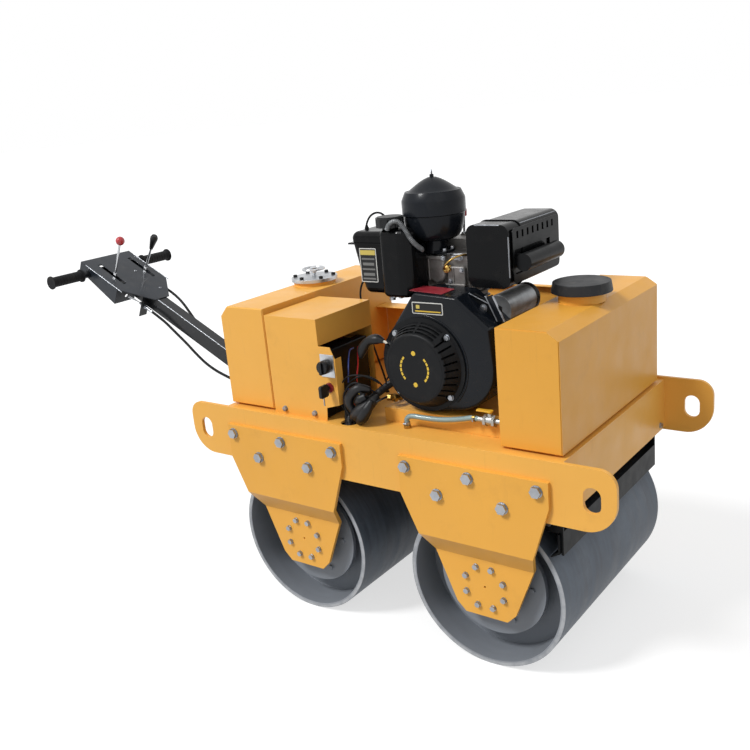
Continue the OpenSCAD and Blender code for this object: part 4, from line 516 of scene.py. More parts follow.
def dress(name, mat, width=0.0, segments=2):
    """Gives a CAD node its material, or its list of them, and rounds its edges by width in mm."""
    obj = nodes[name]
    obj.data.materials.clear()
    for m in mat if isinstance(mat, (list, tuple)) else [mat]:
        obj.data.materials.append(m)
    if width:
        if "custom_normal" in obj.data.attributes:
            obj.data.attributes.remove(obj.data.attributes["custom_normal"])
        obj.data.polygons.foreach_set("use_smooth", [True] * len(obj.data.polygons))
        round_edges(obj, width, segments, weld=True)


def tint(name, choose):
    """Gives each face of a CAD node the material that choose picks from its middle in mm."""
    for p in nodes[name].data.polygons:
        p.material_index = choose(p.center / MM)


dress("front_tank", yellow_tank, 2.2, 3)
dress("rear_tank", yellow, 2.2, 3)
dress("rear_drum", drum_paint("rear_drum_paint", -290), 1.2)
dress("front_drum", drum_paint("front_drum_paint", 290), 1.2)
for mat, width, names in (
    (yellow, 0.9, "side_plates cross_members"), (yellow, 0.7, "battery_cover"), (yellow, 1.0, "belt_guard"),
    (yellow_bracket, 0.9, "drum_brackets"), (yellow_deck, 0.8, "deck_plate engine_base"),
    (zinc, 0.0, "bracket_bolts small_bolts handle_pins"), (zinc, 0.4, "throttle_lever"),
    (turned, 0.0, "axle_stubs drum_bearings spray_pipes crankshaft exciter_shaft"),
    (bright, 0.0, "filler_handwheel"), ([aluminium, plastic, yellow], 0.5, "filler_flange"),
    ([valve_silver, brass], 0.4, "water_valve"), (valve_yellow, 0.4, "valve_handle"),
    ([aluminium, dark_red], 0.3, "switch_panel"), (lid_plastic, 1.6, "front_tank_lid"),
    (plastic, 1.5, "battery"), (plastic, 0.8, "main_switch"), (plastic, 0.5, "ignition_key"),
    (plastic, 1.0, "fuel_cap"), (frame_black, 0.6, "scraper_bars"), (frame_black, 0.4, "scraper_blades"),
    (case_metal, 0.8, "drum_motors"), (case_metal, 1.5, "crankcase"), (case_metal, 1.0, "exciter_housing"),
    (case_metal, 0.0, "flywheel"), (head_metal, 1.0, "cylinder_block rocker_cover"),
    (blue_metal, 1.0, "hydraulic_pump"), ([starter_metal, frame_black], 0.8, "starter_motor"),
    (cowl_black, 1.2, "blower_housing"), (recoil_black, 0.5, "recoil_housing"),
    (black_gloss, 0.0, "fuel_tank muffler"), ([black_satin, frame_black], 0.0, "muffler_guard"),
    (filter_black, 0.0, "air_filter air_filter_lid"), (arm_paint, 1.2, "handle_arm"), (arm_paint, 0.0, "handlebar"),
    (panel_blue, 0.9, "control_box"), ([bright, red_plastic], 0.0, "decompression_lever travel_lever"),
    ([bright, plastic], 0.0, "vibration_lever"), (rubber, 0.6, "handle_grips"),
    (rubber, 0.0, "drive_belt recoil_rope water_hose wiring_harness control_cables"),
):
    for n in names.split():
        dress(n, mat, width)

lever_root, ball_from, knob_from = on_handle(768, 0, -17) / MM, 165, 134
flange_top, flange_foot = 888.5, 877.5
tint("travel_lever", lambda c: int((c - lever_root).length > ball_from))
tint("vibration_lever", lambda c: int((c - lever_root).length > knob_from))
tint("decompression_lever", lambda c: int(c.z > 1060))
tint("filler_flange", lambda c: 1 if c.z > flange_top else 2 if c.z < flange_foot else 0)
tint("switch_panel", lambda c: int(c.z < 695))
tint("starter_motor", lambda c: int(c.y > 8))
tint("water_valve", lambda c: int(c.x - MID_X < 262))


# ---------------------------------------------------------------- cords


def cord(name, points, radius, mat, body="frame", steps=4, sides=14, ribs=None,
         ends=None):
    """A hose, cable or wire along points in mm of the row."""
    line = catmull([row(*p) for p in points], steps)
    obj = tube(name, line, radius, mat, body, sides, ribs)
    if ends:
        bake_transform(obj)
    return obj


hose = cord("water_feed_hose", [
    (271.5, -250, 629), (262, -250, 629), (250, -250, 628.5), (225, -252, 623), (190, -254, 617), (155, -256, 614),
    (120, -258, 614), (95, -260, 615), (80, -261, 613), (72, -262, 605), (72, -262, 597), (72, -262, 590.3)],
    6.5, hose_grey, sides=16)
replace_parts(hose, "water_hose")
harness = cord("main_loom", [
    (22.9, -106, 670), (12, -106, 670), (-4, -112, 670), (-14, -135, 670), (-17, -170, 669), (-18, -200, 667),
    (-20, -230, 662), (-30, -254, 650), (-52, -270, 632), (-76, -280, 612), (-90, -284, 594), (-92, -284, 580),
    (-92, -284, 566)], 10, sleeve, sides=16, ribs=(4.0, 1.1))
cord("switch_loom", [
    (-176, -252, 706), (-150, -254, 690), (-130, -260, 668), (-120, -264, 640), (-113, -269, 614),
    (-110, -275, 592), (-109, -277, 580), (-109, -277, 566)], 6, sleeve, ribs=(3.0, 0.8))
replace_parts(harness, "wiring_harness")

near_points = [(-1113.2, -35, 748.6), (-1101, -35, 742.4), (-1080, -35, 731), (-1056, -34, 716), (-1012, -34, 684),
               (-966, -34, 650), (-928, -34, 619), (-888, -34, 591), (-845, -35, 571), (-801, -37, 558),
               (-760, -40, 549), (-700, -45, 538), (-640, -51, 530), (-600, -55, 526), (-560, -58, 523),
               (-530, -58, 522), (-512.5, -58, 522)]
far_points = [(-1198.6, 70, 825.2), (-1186.4, 70, 820.2), (-1147.6, 68, 806.7), (-1111, 63, 792.7),
              (-1078, 58, 776), (-1050, 53, 757), (-1026, 49, 735.5), (-997, 45, 707), (-968, 41, 677),
              (-938, 39, 647), (-900, 37, 618), (-860, 36, 594), (-820, 36, 576), (-780, 38, 563),
              (-740, 41, 553), (-680, 46, 541), (-620, 53, 531), (-580, 57, 525), (-550, 58, 522.5),
              (-530, 58, 522), (-512.5, 58, 522)]
bend = ("frame", "handle", row(-520, 0, 522), row(-700, 0, 545))
near_cable = cord("near_control_cable", near_points, 4.5, rubber, None, sides=12, ends=bend)
cord("far_control_cable", far_points, 4.5, rubber, None, sides=12, ends=bend)
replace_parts(near_cable, "control_cables")

# The starter's rope, which runs out of its guide with the grip
ROPE_PLANE, ROPE_STEPS = -256, 24
guide, knot = crank(-86.7, ROPE_PLANE, 52.4), crank(-99.3, ROPE_PLANE, 56.6)
rope_path = [guide.lerp(knot, k / ROPE_STEPS) for k in range(ROPE_STEPS + 1)]
rope = tube("starter_rope", rope_path, 3.4, rope_white, None, 12)
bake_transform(rope)
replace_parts(rope, "recoil_rope")

# Its soft grip, lofted along a bent middle line
grip_line = catmull([crank(x, ROPE_PLANE, z) for x, z in (
    (-99, 56.5), (-111, 59.5), (-123, 60), (-136, 57.5), (-148, 52), (-158, 43), (-166, 32), (-171, 20),
    (-174, 7))], 4)
grip_sizes = (6, 9, 12.5, 13.6, 13.4, 12.2, 11.6, 12.2, 13.2, 13.7, 13.0, 9.5, 5)
flatness, grip_sides = 0.94, 20
rings = []
for i, at in enumerate(grip_line):
    lift = heading(grip_line, i).cross(ACROSS).normalized()
    size = between(grip_sizes, i / (len(grip_line) - 1))
    rings.append([at + ACROSS * (size * math.cos(a)) * MM + lift * (size * flatness * math.sin(a)) * MM
                  for a in (2 * math.pi * k / grip_sides for k in range(grip_sides))])
grip = piece("starter_grip", mesh_from("starter_grip", *skin(rings)), plastic, "pull_grip",
             smooth=60)
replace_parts(grip, "recoil_grip")


# ---------------------------------------------------------------- engine details

# Y of the faces that details sit on, in mm
COWL_FACE, TANK_FACE, HEAD_FACE, BRACKET_FACE = -232.1, -190.05, -108, -172


def framed_plate(name, centre, w, h):
    """A bare black plate with a raised pale rim, on a face that looks to the near side."""
    thick, border = 0.8, 2.2
    outer = slab(name + "_rim", rounded(w, h, 3), 0, thick, centre, NEAR, label_white, None, bevel=0.15)
    inner = slab(name + "_field", rounded(w - 2 * border, h - 2 * border, 1.6), thick, thick + 0.25, centre, NEAR,
                 label_black, None, bevel=0.05)
    joined(name, [outer, inner])


def mark(name, w, h, x, y, z, mat):
    """A printed bar on a framed plate."""
    slab(name, rounded(w, h, 1), 1.0, 1.2, row(x, y, z), NEAR, mat, bevel=0)


framed_plate("cowl_plate", row(137.5, COWL_FACE, 884), 87, 29)
mark("cowl_plate_stripe", 72, 3, 139, COWL_FACE, 876.5, orange_mark)
mark("cowl_plate_field", 10, 9, 111, COWL_FACE, 887, label_yellow)
slope = math.radians(3.0)
slab("cowl_top_plate", rounded(94, 60, 3), 0, 0.8, row(125, -188, 918.9), (math.sin(slope), 0, math.cos(slope)),
     label_red, up=ACROSS, bevel=0.2)
framed_plate("tank_plate", row(-57, TANK_FACE, 974), 52, 86)
mark("tank_plate_band", 46, 12, -57, TANK_FACE, 1006, label_yellow)
for i, z in enumerate((990, 977, 964, 951, 940)):
    mark("tank_plate_field_%d" % i, 40 - 5 * (i % 2), 4 + 3 * (i % 2), -57, TANK_FACE, z, label_grey)


def ring_arc(name, centre, r0, r1, a0, a1, thick, mat):
    """A flat arc on a face that looks to the near side."""
    steps = 6
    verts, faces = [], []
    for h in (0, thick):
        for k in range(steps + 1):
            a = math.radians(a0 + (a1 - a0) * k / steps)
            for r in (r0, r1):
                verts.append(centre + Vector((r * math.cos(a), -h, r * math.sin(a))) * MM)
    n = 2 * (steps + 1)
    for k in range(steps):
        i = 2 * k
        faces += [(i, i + 2, i + 3, i + 1), (n + i, n + i + 1, n + i + 3, n + i + 2),
                  (i, n + i, n + i + 2, i + 2), (i + 1, i + 3, n + i + 3, n + i + 1)]
    faces += [(0, 1, n + 1, n), (n - 2, 2 * n - 2, 2 * n - 1, n - 1)]
    piece(name, mesh_from(name, verts, faces), mat)


face = crank(0, -275.05, 0)
for i in range(12):
    start = (-45 if i < 6 else 135) + 15.4 * (i % 6)
    ring_arc("face_dash_%d" % i, face, 37, 42, start, start + 12, 0.25, orange_mark)
for i, z in enumerate((39.5, -39.5)):
    lathe("face_dot_%d" % i, [(0, 0), (6, 0), (6, 0.25), (0, 0.25)], face + Vector((0, 0, z * MM)), NEAR,
          orange_mark, segments=24)
lathe("face_rim", [(77, 0), (78.6, 0), (78.6, 0.5), (77, 0.5), (77, 0)], crank(0, -274.95, 0), NEAR,
      recoil_black, segments=72)

# Cowl: the fan housing as one pressed shell with a rounded front edge, and a bead round the starter
COWL = [(Vector((x, z)), r) for x, z, r in (
    (0, 0, 121), (80, 5, 114), (-11, 163, 14), (92, 151, 20), (172, 92, 14))]
COWL_SIDES, COWL_BACK, COWL_FRONT, COWL_HOLE, COWL_EDGE, COWL_WALL = 144, 125, 232, 92, 8, 3


def cowl_ring(inset, depth, hole=0):
    """A ring of the cowl's outline, or of its hole, this deep on the near side."""
    ring = []
    for k in range(COWL_SIDES):
        n = Vector((math.cos(math.tau * k / COWL_SIDES), math.sin(math.tau * k / COWL_SIDES)))
        c, r = max(COWL, key=lambda circle: circle[0].dot(n) + circle[1])
        p = n * hole if hole else c + n * (r - inset)
        ring.append(crank(p.x, -depth, p.y))
    return ring


cowl_rings = [cowl_ring(0, COWL_BACK)]
for a in (0, 18, 36, 54, 72, 90):
    cowl_rings.append(cowl_ring(COWL_EDGE * (1 - math.cos(math.radians(a))),
                                COWL_FRONT - COWL_EDGE + COWL_EDGE * math.sin(math.radians(a))))
cowl_rings += [
    cowl_ring(0, COWL_FRONT, COWL_HOLE), cowl_ring(0, COWL_FRONT - COWL_WALL, COWL_HOLE),
    cowl_ring(COWL_EDGE + 1, COWL_FRONT - COWL_WALL), cowl_ring(COWL_WALL, COWL_FRONT - COWL_EDGE - 1),
    cowl_ring(COWL_WALL, COWL_BACK)]
verts, faces = skin(cowl_rings, closed_ends=False)
last = len(verts) - COWL_SIDES
faces += [(last + k, last + (k + 1) % COWL_SIDES, (k + 1) % COWL_SIDES, k) for k in range(COWL_SIDES)]
cowl = piece("cowl_shell", mesh_from("cowl_shell", verts, faces), cowl_black, "frame", smooth=32)
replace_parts(cowl, "blower_housing")
bead = 123.4
tube("cowl_bead", [crank(bead * math.cos(math.radians(a)), -231.6, bead * math.sin(math.radians(a)))
                   for a in range(-44, 89, 6)], 2.4, cowl_black)

# Painted highlights: pale lines along the bends of the muffler's cover and along the lip of its near shell
for i, (x, z) in enumerate(((184.6, 317.2), (190.4, 306.5))):
    tube("muffler_bend_%d" % i, [crank(x, y, z) for y in (-62, 30, 128)], 1.5, painted_highlight_line, sides=10)
for label, x0, z0, x1, z1 in (("top", 102, 322.6, 168, 322.6), ("side", 190.6, 296, 190.6, 200)):
    tube("muffler_lip_" + label, [crank(x0, -129, z0), crank((x0 + x1) / 2, -129, (z0 + z1) / 2),
                                  crank(x1, -129, z1)], 1.7, painted_highlight_line, sides=10)

# Knob of the main switch, and the key with its tail
knob_at = row(-134.5, -306, 734)
lathe("switch_cap", [(0, 0), (17, 0), (18, 2), (17.2, 18), (15.5, 20.5), (0, 20.5)], knob_at, NEAR, plastic,
      "switch_knob", segments=40)
slab("switch_bar", rounded(9, 34, 3), 20, 26, knob_at, NEAR, plastic, "switch_knob", bevel=1.4)
slab("key_head", rounded(31, 33, 6), -4.5, 4.5, row(-134.5, -326, 673), (1, 0, 0), plastic, "key", bevel=1.6)
slab("key_tail", rounded(3, 24, 1), -1.2, 1.2, row(-134.5, -328, 647), (1, 0, 0), zinc, "key", bevel=0.3)

# Painted highlights along the upper edges of the arm and the control box, two screws, and the box floor behind the
# levers
for label, reach, y, w in (("arm", (46, 360, 672), -18.4, 24.4), ("box", (676, 770, 865), -103.3, 27.3),
                           ("box_far", (676, 770, 865), 103.3, 27.3)):
    tube(label + "_edge", [on_handle(u, y, w) for u in reach], 1.5, painted_highlight_strip, "handle", sides=12)
above = (on_handle(0, 0, 1) - on_handle(0, 0, 0)).normalized()
for i, (u, y) in enumerate(((768, 32), (644, 36))):
    r, height = 4.5, 2.2
    lathe("box_screw_%d" % i, [(0, 0), (r, 0), (r, height - 0.8), (r - 0.8, height), (r * 0.55, height),
                               (r * 0.5, height - 3), (0, height - 3)], on_handle(u, y, 28), above, zinc, "handle",
          segments=18)
for i, y in enumerate((-60.5, 60.5)):
    outer, inner = on_handle(863, y, -6.2), on_handle(790, y, -16.4)
    slab("box_floor_%d" % i, rounded(81, 73, 1), 0, 1.5, (outer + inner) / 2,
         Vector(NEAR).cross((outer - inner).normalized()), panel_blue, "handle", up=outer - inner, bevel=0.3)

# Air filter: a bowl on its neck, a lid with a crest round its dome, and a wing nut
filter_foot, lid_foot, nut_foot = (row(90, -100, z) for z in (994.3, 1090, 1180))
bowl_side = catmull([Vector((r, z, 0)) for r, z in (
    (26, 31), (38, 32), (50, 35), (61.5, 44), (68.5, 58), (72.5, 73), (74.8, 88), (75.4, 95.6))], 4)
bowl = lathe("filter_bowl", [(0, 0.6), (26, 0.6), (26, 31)] + [(v.x, v.y) for v in bowl_side[1:]] + [(0, 95.6)],
             filter_foot, UP, filter_black, None, segments=72, smooth=28)
flange = slab("filter_flange", rounded(84, 50, 12), 0, 7, filter_foot, UP, filter_black, None, up=ACROSS,
              bevel=1.2)
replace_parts(joined("filter_body", [bowl, flange]), "air_filter")
lid = lathe("filter_lid_shell", [(0, 0.1), (76, 0.1), (78.4, 2), (78.4, 34), (77.8, 37), (69.6, 55), (68.6, 56.5),
                                 (66.8, 56.5), (65.6, 55.4), (63, 56.2), (57, 60), (50, 65), (41, 71.6), (31, 78),
                                 (21, 83.4), (11, 87.4), (5.2, 88.6), (5.2, 94), (3.2, 95), (0, 95)],
            lid_foot, UP, filter_black, None, segments=72, smooth=24)
wing = slab("filter_wing_nut", [(-3, 0), (3, 0), (11, 7), (14.5, 12.5), (13.5, 15.6), (9, 15.8), (5, 9), (0, 7),
                                (-5, 9), (-9, 15.8), (-13.5, 15.6), (-14.5, 12.5), (-11, 7)],
            -1.4, 1.4, nut_foot, (0.79, 0.613, 0), zinc, None, bevel=0.5)
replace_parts(joined("filter_lid", [lid, wing]), "air_filter_lid")

# Intake elbow, side cover and gasket on the near face of the cylinder head
elbow = [(-38, 38), (38, 38), (38, -12), (30, -24), (14, -30), (4, -26), (-8, -20), (-20, -24), (-30, -34),
         (-38, -30)]
for label, outline, low, high, x, z, mat, bevel in (
    ("head_gasket", rounded(138, 4.5, 1), 0, 2.5, 114, 991.5, bright, 0.6),
    ("intake_elbow", elbow, 0, 17, 86, 950, head_metal, 5.0),
    ("intake_elbow_rib", rounded(5, 60, 2.4), 17, 22, 81, 958, head_metal, 1.6),
    ("intake_elbow_ledge", rounded(78, 9, 3), 14, 22, 86, 985, head_metal, 1.6),
    ("head_side_cover", rounded(50, 46, 7), 0, 11, 153, 940, head_metal, 3.2),
    ("head_side_foot", rounded(58, 6, 2.5), 0, 15, 149, 917.5, head_metal, 1.4),
    ("head_side_rib", rounded(4, 40, 1.8), 11, 14, 146, 941, head_metal, 1.2),
):
    slab(label, outline, low, high, row(x, HEAD_FACE, z), NEAR, mat, bevel=bevel)
screw_row("head_bolt", [(54, -130.2, 985), (126, -130.2, 985), (166, -119.2, 984), (170, -119.2, 955),
                        (136, -119.2, 926), (60, -125.2, 930)], NEAR, 5.0, 4.0)
slab("lever_plate", rounded(34, 10, 4), 8, 11, row(158, HEAD_FACE, 984), NEAR, zinc, bevel=0.8)
screw_row("flange_bolt", [(x, y, 1001.4) for y in (-118, -82) for x in (56, 124)], UP, 6.0, 5.0)

# Fuel pipes, injector, the tank's vent and the hose from its cap to the intake
lathe("injector_body", [(0, 0), (9, 0), (9, 6), (6.5, 7), (6.5, 13), (10, 14), (10, 20), (5, 22), (5, 25), (0, 25)],
      row(132, -113, 957), (0.1, -1, 0.1), brass, "frame", segments=6)
cord("injector_pipe", [(134.5, -137.5, 959.5), (137, -146, 964), (146, -150, 975), (160, -146, 986),
                       (172, -132, 992), (181, -114, 992), (186, -96, 985)],
     2.6, brass, "frame", 6, 10)
cord("tank_vent_line", [(-91, -140, 1056.5), (-91, -140, 1066), (-87, -139, 1077), (-79, -138, 1088),
                        (-68, -136, 1095), (-57, -134, 1097), (-46, -132, 1094), (-38, -130, 1085),
                        (-34, -130, 1071), (-33, -130, 1056.5)], 2.6, rubber, steps=6, sides=10)
cord("intake_vent_hose", [(30, -219, 1069), (36, -220, 1079), (46, -216, 1087), (57, -209, 1085),
                          (66, -204, 1074), (75, -203, 1060), (83, -201, 1045), (89, -192, 1031),
                          (91, -178, 1020), (86, -160, 1012), (80, -152, 1008), (74, -142, 1007)],
     6.2, braid, "frame", 5, 14, ribs=(3.6, 0.9))
cord("fuel_return_line", [(-83, -50, 930), (-100, -51, 930), (-130, -53, 927), (-160, -56, 916), (-183, -59, 898),
                          (-194, -60, 872), (-195, -60, 840), (-190, -58, 795), (-179, -54, 740), (-164, -49, 682),
                          (-151, -45, 632), (-146, -44, 606), (-146, -44, 584)], 2.8, rubber, steps=6, sides=10)
cord("fuel_feed_line", [(20, -110, 903), (20, -110, 890), (24, -108, 868), (32, -104, 840), (38, -101, 820),
                        (40, -100, 805)], 3.6, rubber, steps=6, sides=10)
for label, at, r in (("return", (-146, -44, 582), 6.5), ("feed", (40, -100, 804), 7)):
    lathe(label + "_grommet", [(0, 0), (r, 0), (r, 3), (r - 2, 5), (r - 2.6, 8), (0, 8)], row(*at), UP, rubber,
          segments=20)
lathe("return_union", [(0, 0), (6, 0), (6, 5), (4.4, 6), (4.4, 12), (0, 12)], row(-84, -50, 930), (-1, 0, 0),
      rubber, segments=20)
for i, (x, y) in enumerate(((-91, -140), (-33, -130))):
    lathe("vent_nipple_%d" % i, [(0, 0), (5.5, 0), (5.5, 4), (4, 5), (4, 9), (0, 9)], row(x, y, 1056.5), UP,
          rubber, segments=20)
lathe("drain_cock", [(0, 0), (8, 0), (8, 5), (5, 6), (5, 12), (8, 13), (8, 20), (0, 20)], row(-8, -168, 903),
      (0, 0, -1), zinc, segments=18)
for i, (x, z) in enumerate(((6, 892), (24, 891))):
    lathe("tank_foot_nut_%d" % i, [(0, 0), (7, 0), (7, 9), (0, 9)], row(x, -176, z), UP, zinc, segments=6)

# Bracket between the cowl and the front tank: a plate, a channel whose bright edges are zinc strips painted as
# highlights, and a flanged bolt
slab("cowl_bracket", [(-34, 36), (-26, 42), (44, 12), (44, -30), (10, -34), (-34, -10)], 0, 4,
     row(262, BRACKET_FACE, 872), NEAR, frame_black, bevel=0.8)
lean = Vector((-26, 0, 55)).normalized()
# Channel 0 is the channel itself; 1 and 2 are zinc strips painted as the highlights along its edges
for i, (dx, w, depth, mat) in enumerate(((0, 17, 3, cowl_black), (-9.5, 2.2, 6, zinc), (9.5, 2.2, 6, zinc))):
    slab("cowl_channel_%d" % i, rounded(w, 66, 1), 4, 4 + depth, row(291 + dx, BRACKET_FACE, 880), NEAR, mat,
         up=lean, bevel=0.5)
# A zinc strip painted as the highlight along the plate's edge
strap_edge = Vector((69, 0, -30)).normalized()
slab("cowl_bracket_edge", rounded(2.0, 74, 0.9), 4, 6, row(256, BRACKET_FACE, 898), NEAR, zinc,
     up=strap_edge, bevel=0.4)
bolt("cowl_bracket_bolt", row(259, BRACKET_FACE - 4.2, 879), NEAR, 7, 5, 10)
for i, (x, z) in enumerate(((236, 874), (247, 862))):
    bolt("cowl_bracket_stud_%d" % i, row(x, BRACKET_FACE - 4.2, z), NEAR, 3.4, 3, 4.4)

# Lifting eye and plug behind the filter
slab("lifting_eye", [(-15, -26), (17, -26), (14, -4), (6, 20), (0, 27), (-8, 24), (-12, 8)], -2.5, 2.5,
     row(172, -66, 1020.5), NEAR, head_metal, bevel=1.2)
lathe("rocker_plug", [(0, 0), (11, 0), (11, 3), (8, 4), (8, 9), (6, 10), (0, 10)], row(160, -34, 1020), UP, zinc,
      segments=6)

# Folded guard sheet on the far side, between the two tanks
SHEET = 2.5
slab("far_guard", [(-348, 583), (313, 583), (313, 839), (-40, 839), (-118, 758), (-348, 758)], 0, SHEET,
     row(0, 262, 0), NEAR, yellow, bevel=0.6)
for label, x, w, y, depth, z in (("top", 136.5, 353, 253, 20, 836.6), ("shelf", -233, 230, 235, 56, 755.6),
                                 ("foot", -17.5, 661, 250.5, 24, 582.2)):
    slab("far_guard_" + label, rounded(w, depth, 2), 0, SHEET, row(x, y, z), UP, yellow, up=ACROSS, bevel=0.6)
slab("far_guard_end", rounded(56, 172, 2), 0, SHEET, row(-120.5, 235, 670), (1, 0, 0), yellow, bevel=0.6)
for i, x in enumerate((-312, -200, -26, 78, 182, 286)):
    bolt("far_guard_bolt_%d" % i, row(x, 249, 584.7), UP, 6, 5, 8)

# A black slab beside the battery: partly the battery's own side, partly painted shade standing in for the shadowed
# far wall of the cover
slab("battery_side_and_shade_slab", rounded(196, 176, 8), 0, 28, row(-192, -188, 671), (1, 0, 0), black_satin, bevel=3.0)

# Brass drain plug and its union below the cowl
lathe("drain_union", [(0, 0), (10, 0), (10, 6), (7, 7), (7, 16), (11, 17), (11, 26), (6, 27), (6, 34), (0, 34)],
      row(20, -206, 640), (-0.3, -1, 0.15), brass, "frame", segments=6)
lathe("drain_union_nut", [(0, 0), (9, 0), (9, 10), (0, 10)], row(8, -232, 645), (-1, -0.2, 0), brass, "frame",
      segments=6)

# Loose wires of the engine loom, with their sleeves and plugs
wires = (
    (2.6, rubber, [(-92, -284, 600), (-104, -286, 630), (-98, -286, 664), (-70, -284, 690), (-44, -276, 684),
                   (-28, -262, 668), (-20, -250, 655)]),
    (2.2, rubber, [(-90, -280, 596), (-112, -276, 620), (-116, -270, 655), (-92, -262, 688), (-60, -250, 700),
                   (-34, -238, 690), (-20, -225, 668)]),
    (2.6, plastic, [(-84, -280, 596), (-66, -288, 610), (-40, -290, 626), (-14, -284, 640), (2, -268, 650),
                    (8, -250, 652)]),
    (2.4, rubber, [(-84, -290, 598), (-96, -294, 626), (-90, -296, 656), (-64, -294, 674), (-38, -286, 664),
                   (-26, -272, 650)]),
    (2.2, rubber, [(-100, -280, 600), (-122, -282, 634), (-120, -280, 668), (-96, -276, 700), (-66, -266, 706),
                   (-40, -250, 696), (-24, -236, 680)]),
    (2.0, red_plastic, [(-150, -150, 742), (-132, -176, 738), (-112, -204, 716), (-98, -232, 686),
                        (-84, -256, 650), (-86, -276, 606)]),
    (2.0, wire_blue, [(-156, -162, 742), (-146, -190, 744), (-128, -220, 736), (-112, -246, 712), (-104, -262, 676),
                      (-100, -272, 640), (-96, -280, 606)]),
    (2.0, rubber, [(-20, -214, 668), (-8, -226, 686), (4, -232, 700), (10, -236, 716)]),
    (1.6, orange_mark, [(-60, -286, 614), (-44, -292, 640), (-50, -288, 668), (-40, -276, 680)]),
)
for i, (r, mat, pts) in enumerate(wires):
    cord("loom_wire_%d" % i, pts, r, mat, "frame", 6, 8)


def lumpy_sleeve(name, points, radii, mat):
    """A wrapped bundle: a tube whose girth changes and whose surface has tape turns."""
    path = catmull([row(*p) for p in points], 8)
    sizes = [(between(radii, i / (len(path) - 1)) + (0.8 if i % 2 else 0)) * MM for i in range(len(path))]
    piece(name, mesh_from(name, *skin(rings_along(path, sizes, 14))), mat, smooth=60)


# Boot, plug, tape wrap and relay at the foot of the loom
for label, points, radii, mat in (
    ("loom_boot", [(-82, -282, 588), (-66, -290, 606), (-44, -292, 622), (-22, -284, 640), (-12, -262, 654)],
     [7, 16, 19, 14, 8], sleeve),
    ("loom_plug", [(-58, -292, 590), (-40, -298, 606), (-24, -296, 630), (-14, -286, 652)], [8, 15, 14, 6], plastic),
    ("loom_wrap", [(-74, -286, 612), (-84, -290, 636), (-76, -290, 660), (-54, -284, 678), (-30, -268, 672)],
     [8, 12, 13, 12, 7], sleeve),
    ("relay_body", [(-60, -288, 640), (-46, -290, 652), (-30, -286, 660)], [8, 13, 9], plastic),
):
    lumpy_sleeve(label, points, radii, mat)

# Clamps at both ends of the water hose
for label, at, axis in (("valve", row(260, -250, 629), (1, 0, 0)), ("deck", row(72, -262, 595), UP)):
    lathe("hose_clamp_" + label, [(6.6, -4), (8.0, -4), (8.0, 4), (6.6, 4), (6.6, -4)], at, axis, zinc, "frame",
          segments=28)
    lathe("clamp_screw_" + label, [(0, -5), (2.6, -5), (2.6, 5), (0, 5)],
          at + Vector((0, -9.5 * MM, 0)), UP if axis[0] else (1, 0, 0), zinc, "frame", segments=12)

# Bare inner wires from the control box to the cables' adjusters
for i, y in enumerate((-50, -57)):
    line = catmull([on_handle(699, y, -12), on_handle(680, y * 0.9, -14), on_handle(660, -38, -18),
                    on_handle(652, -35, -20)], 6)
    tube("inner_wire_%d" % i, line, 1.6, bright, "handle", 8)

# Cable shoe on the battery's post
lathe("battery_shoe_plus", [(0, 0), (12, 0), (12, 7), (0, 7)], row(-226, -130, 757), UP, dark_red, segments=20)


# ---------------------------------------------------------------- stage and camera

# The camera as it was fitted to the photograph: its place, its turns in radians and its focal length
CAMERA_AT = row(1330.1, -1996.0, 1371.7)
YAW, PITCH, ROLL = 0.6597, 0.2925, -0.0947
FOCAL_PIXELS, PICTURE_PIXELS, SENSOR_MM = 914.5, 750, 36

camera = bpy.data.objects.new("camera", bpy.data.cameras.new("camera"))
bpy.context.scene.collection.objects.link(camera)
back = Vector((math.sin(YAW) * math.cos(PITCH), -math.cos(YAW) * math.cos(PITCH), math.sin(PITCH)))
right = (-back).cross(Vector(UP)).normalized()
upward = right.cross(-back)
right, upward = (right * math.cos(ROLL) + upward * math.sin(ROLL),
                 upward * math.cos(ROLL) - right * math.sin(ROLL))
camera.matrix_world = Matrix.Translation(CAMERA_AT) @ Matrix((right, upward, back)).transposed().to_4x4()
camera.data.lens = SENSOR_MM * FOCAL_PIXELS / PICTURE_PIXELS
camera.data.clip_start = 0.05
camera.data.clip_end = 200
bpy.context.scene.camera = camera
bpy.context.scene.view_settings.view_transform = "Standard"


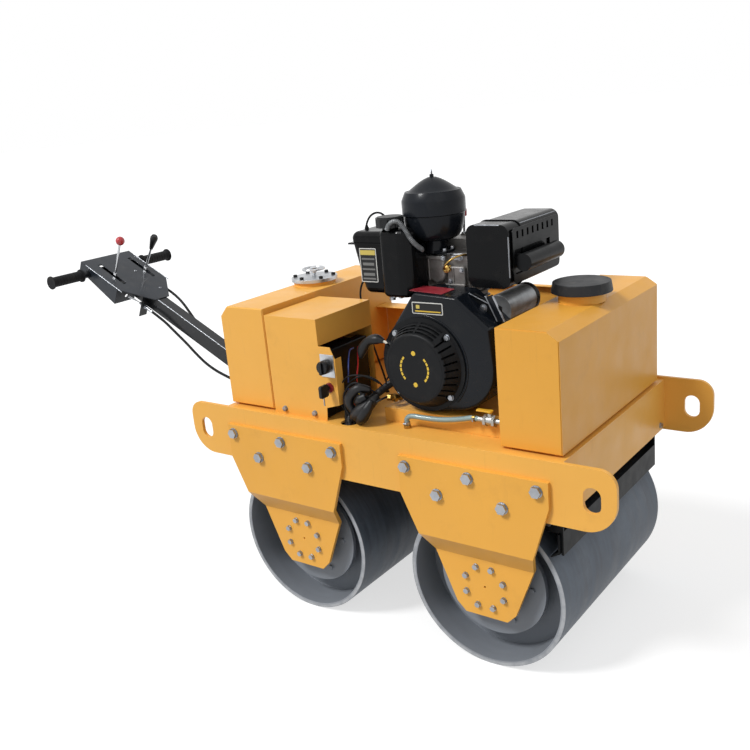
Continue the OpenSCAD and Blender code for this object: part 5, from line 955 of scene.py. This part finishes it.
def seen_ray(tree):
    """A socket that is 1 for what the camera, a reflection or glass shows, and 0 for light."""
    path = tree.nodes.new("ShaderNodeLightPath")
    seen = path.outputs["Is Camera Ray"]
    for kind in ("Is Glossy Ray", "Is Transmission Ray"):
        either = tree.nodes.new("ShaderNodeMath")
        either.operation = "MAXIMUM"
        tree.links.new(seen, either.inputs[0])
        tree.links.new(path.outputs[kind], either.inputs[1])
        seen = either.outputs[0]
    return seen


world = bpy.data.worlds.new("studio")
world.use_nodes = True
bpy.context.scene.world = world
tree = world.node_tree
tree.nodes.clear()
mixer = tree.nodes.new("ShaderNodeMixShader")
tree.links.new(seen_ray(tree), mixer.inputs[0])
for i, (color, strength) in enumerate((((0.97, 0.985, 1.0, 1), 0.56), ((1, 1, 1, 1), 1.0))):
    light = tree.nodes.new("ShaderNodeBackground")
    light.inputs[0].default_value = color
    light.inputs[1].default_value = strength
    tree.links.new(light.outputs[0], mixer.inputs[1 + i])
tree.links.new(mixer.outputs[0], tree.nodes.new("ShaderNodeOutputWorld").inputs[0])


def sun(name, towards, strength, angle):
    """Soft light that falls this way, from a disc this many degrees wide."""
    data = bpy.data.lights.new(name, "SUN")
    data.energy = strength
    data.angle = math.radians(angle)
    obj = bpy.data.objects.new(name, data)
    obj.rotation_mode = "QUATERNION"
    obj.rotation_quaternion = Vector(towards).to_track_quat("-Z", "Y")
    bpy.context.scene.collection.objects.link(obj)


sun("key", (0.6, 1.0, -1.3), 2.5, 15)
sun("fill", (-0.9, 0.5, -0.8), 0.15, 40)

far = 60  # half the floor's side, in metres
floor_mesh = mesh_from("floor", [(-far, -far, 0), (far, -far, 0), (far, far, 0), (-far, far, 0)], [(0, 1, 2, 3)])
floor = bpy.data.objects.new("floor", floor_mesh)
bpy.context.scene.collection.objects.link(floor)
shade = Shade("floor_white")
dirt = shade.ramp(shade.noise(1.5), 0.3, 0.7, 0.417, 0.423)
shade.set(Base_Color=shade.node("CombineColor", Red=dirt, Green=dirt, Blue=dirt).outputs[0], Roughness=0.9,
          Specular_IOR_Level=0.1)
glow = shade.node("Emission", Color=(1, 1, 1, 1), Strength=shade.math("MULTIPLY", seen_ray(shade.tree), 0.66))
both = shade.node("AddShader", _0=shade.bsdf.outputs[0], _1=glow.outputs[0])
shade.tree.links.new(both.outputs[0], shade.out.inputs[0])
floor_mesh.materials.append(shade.mat)
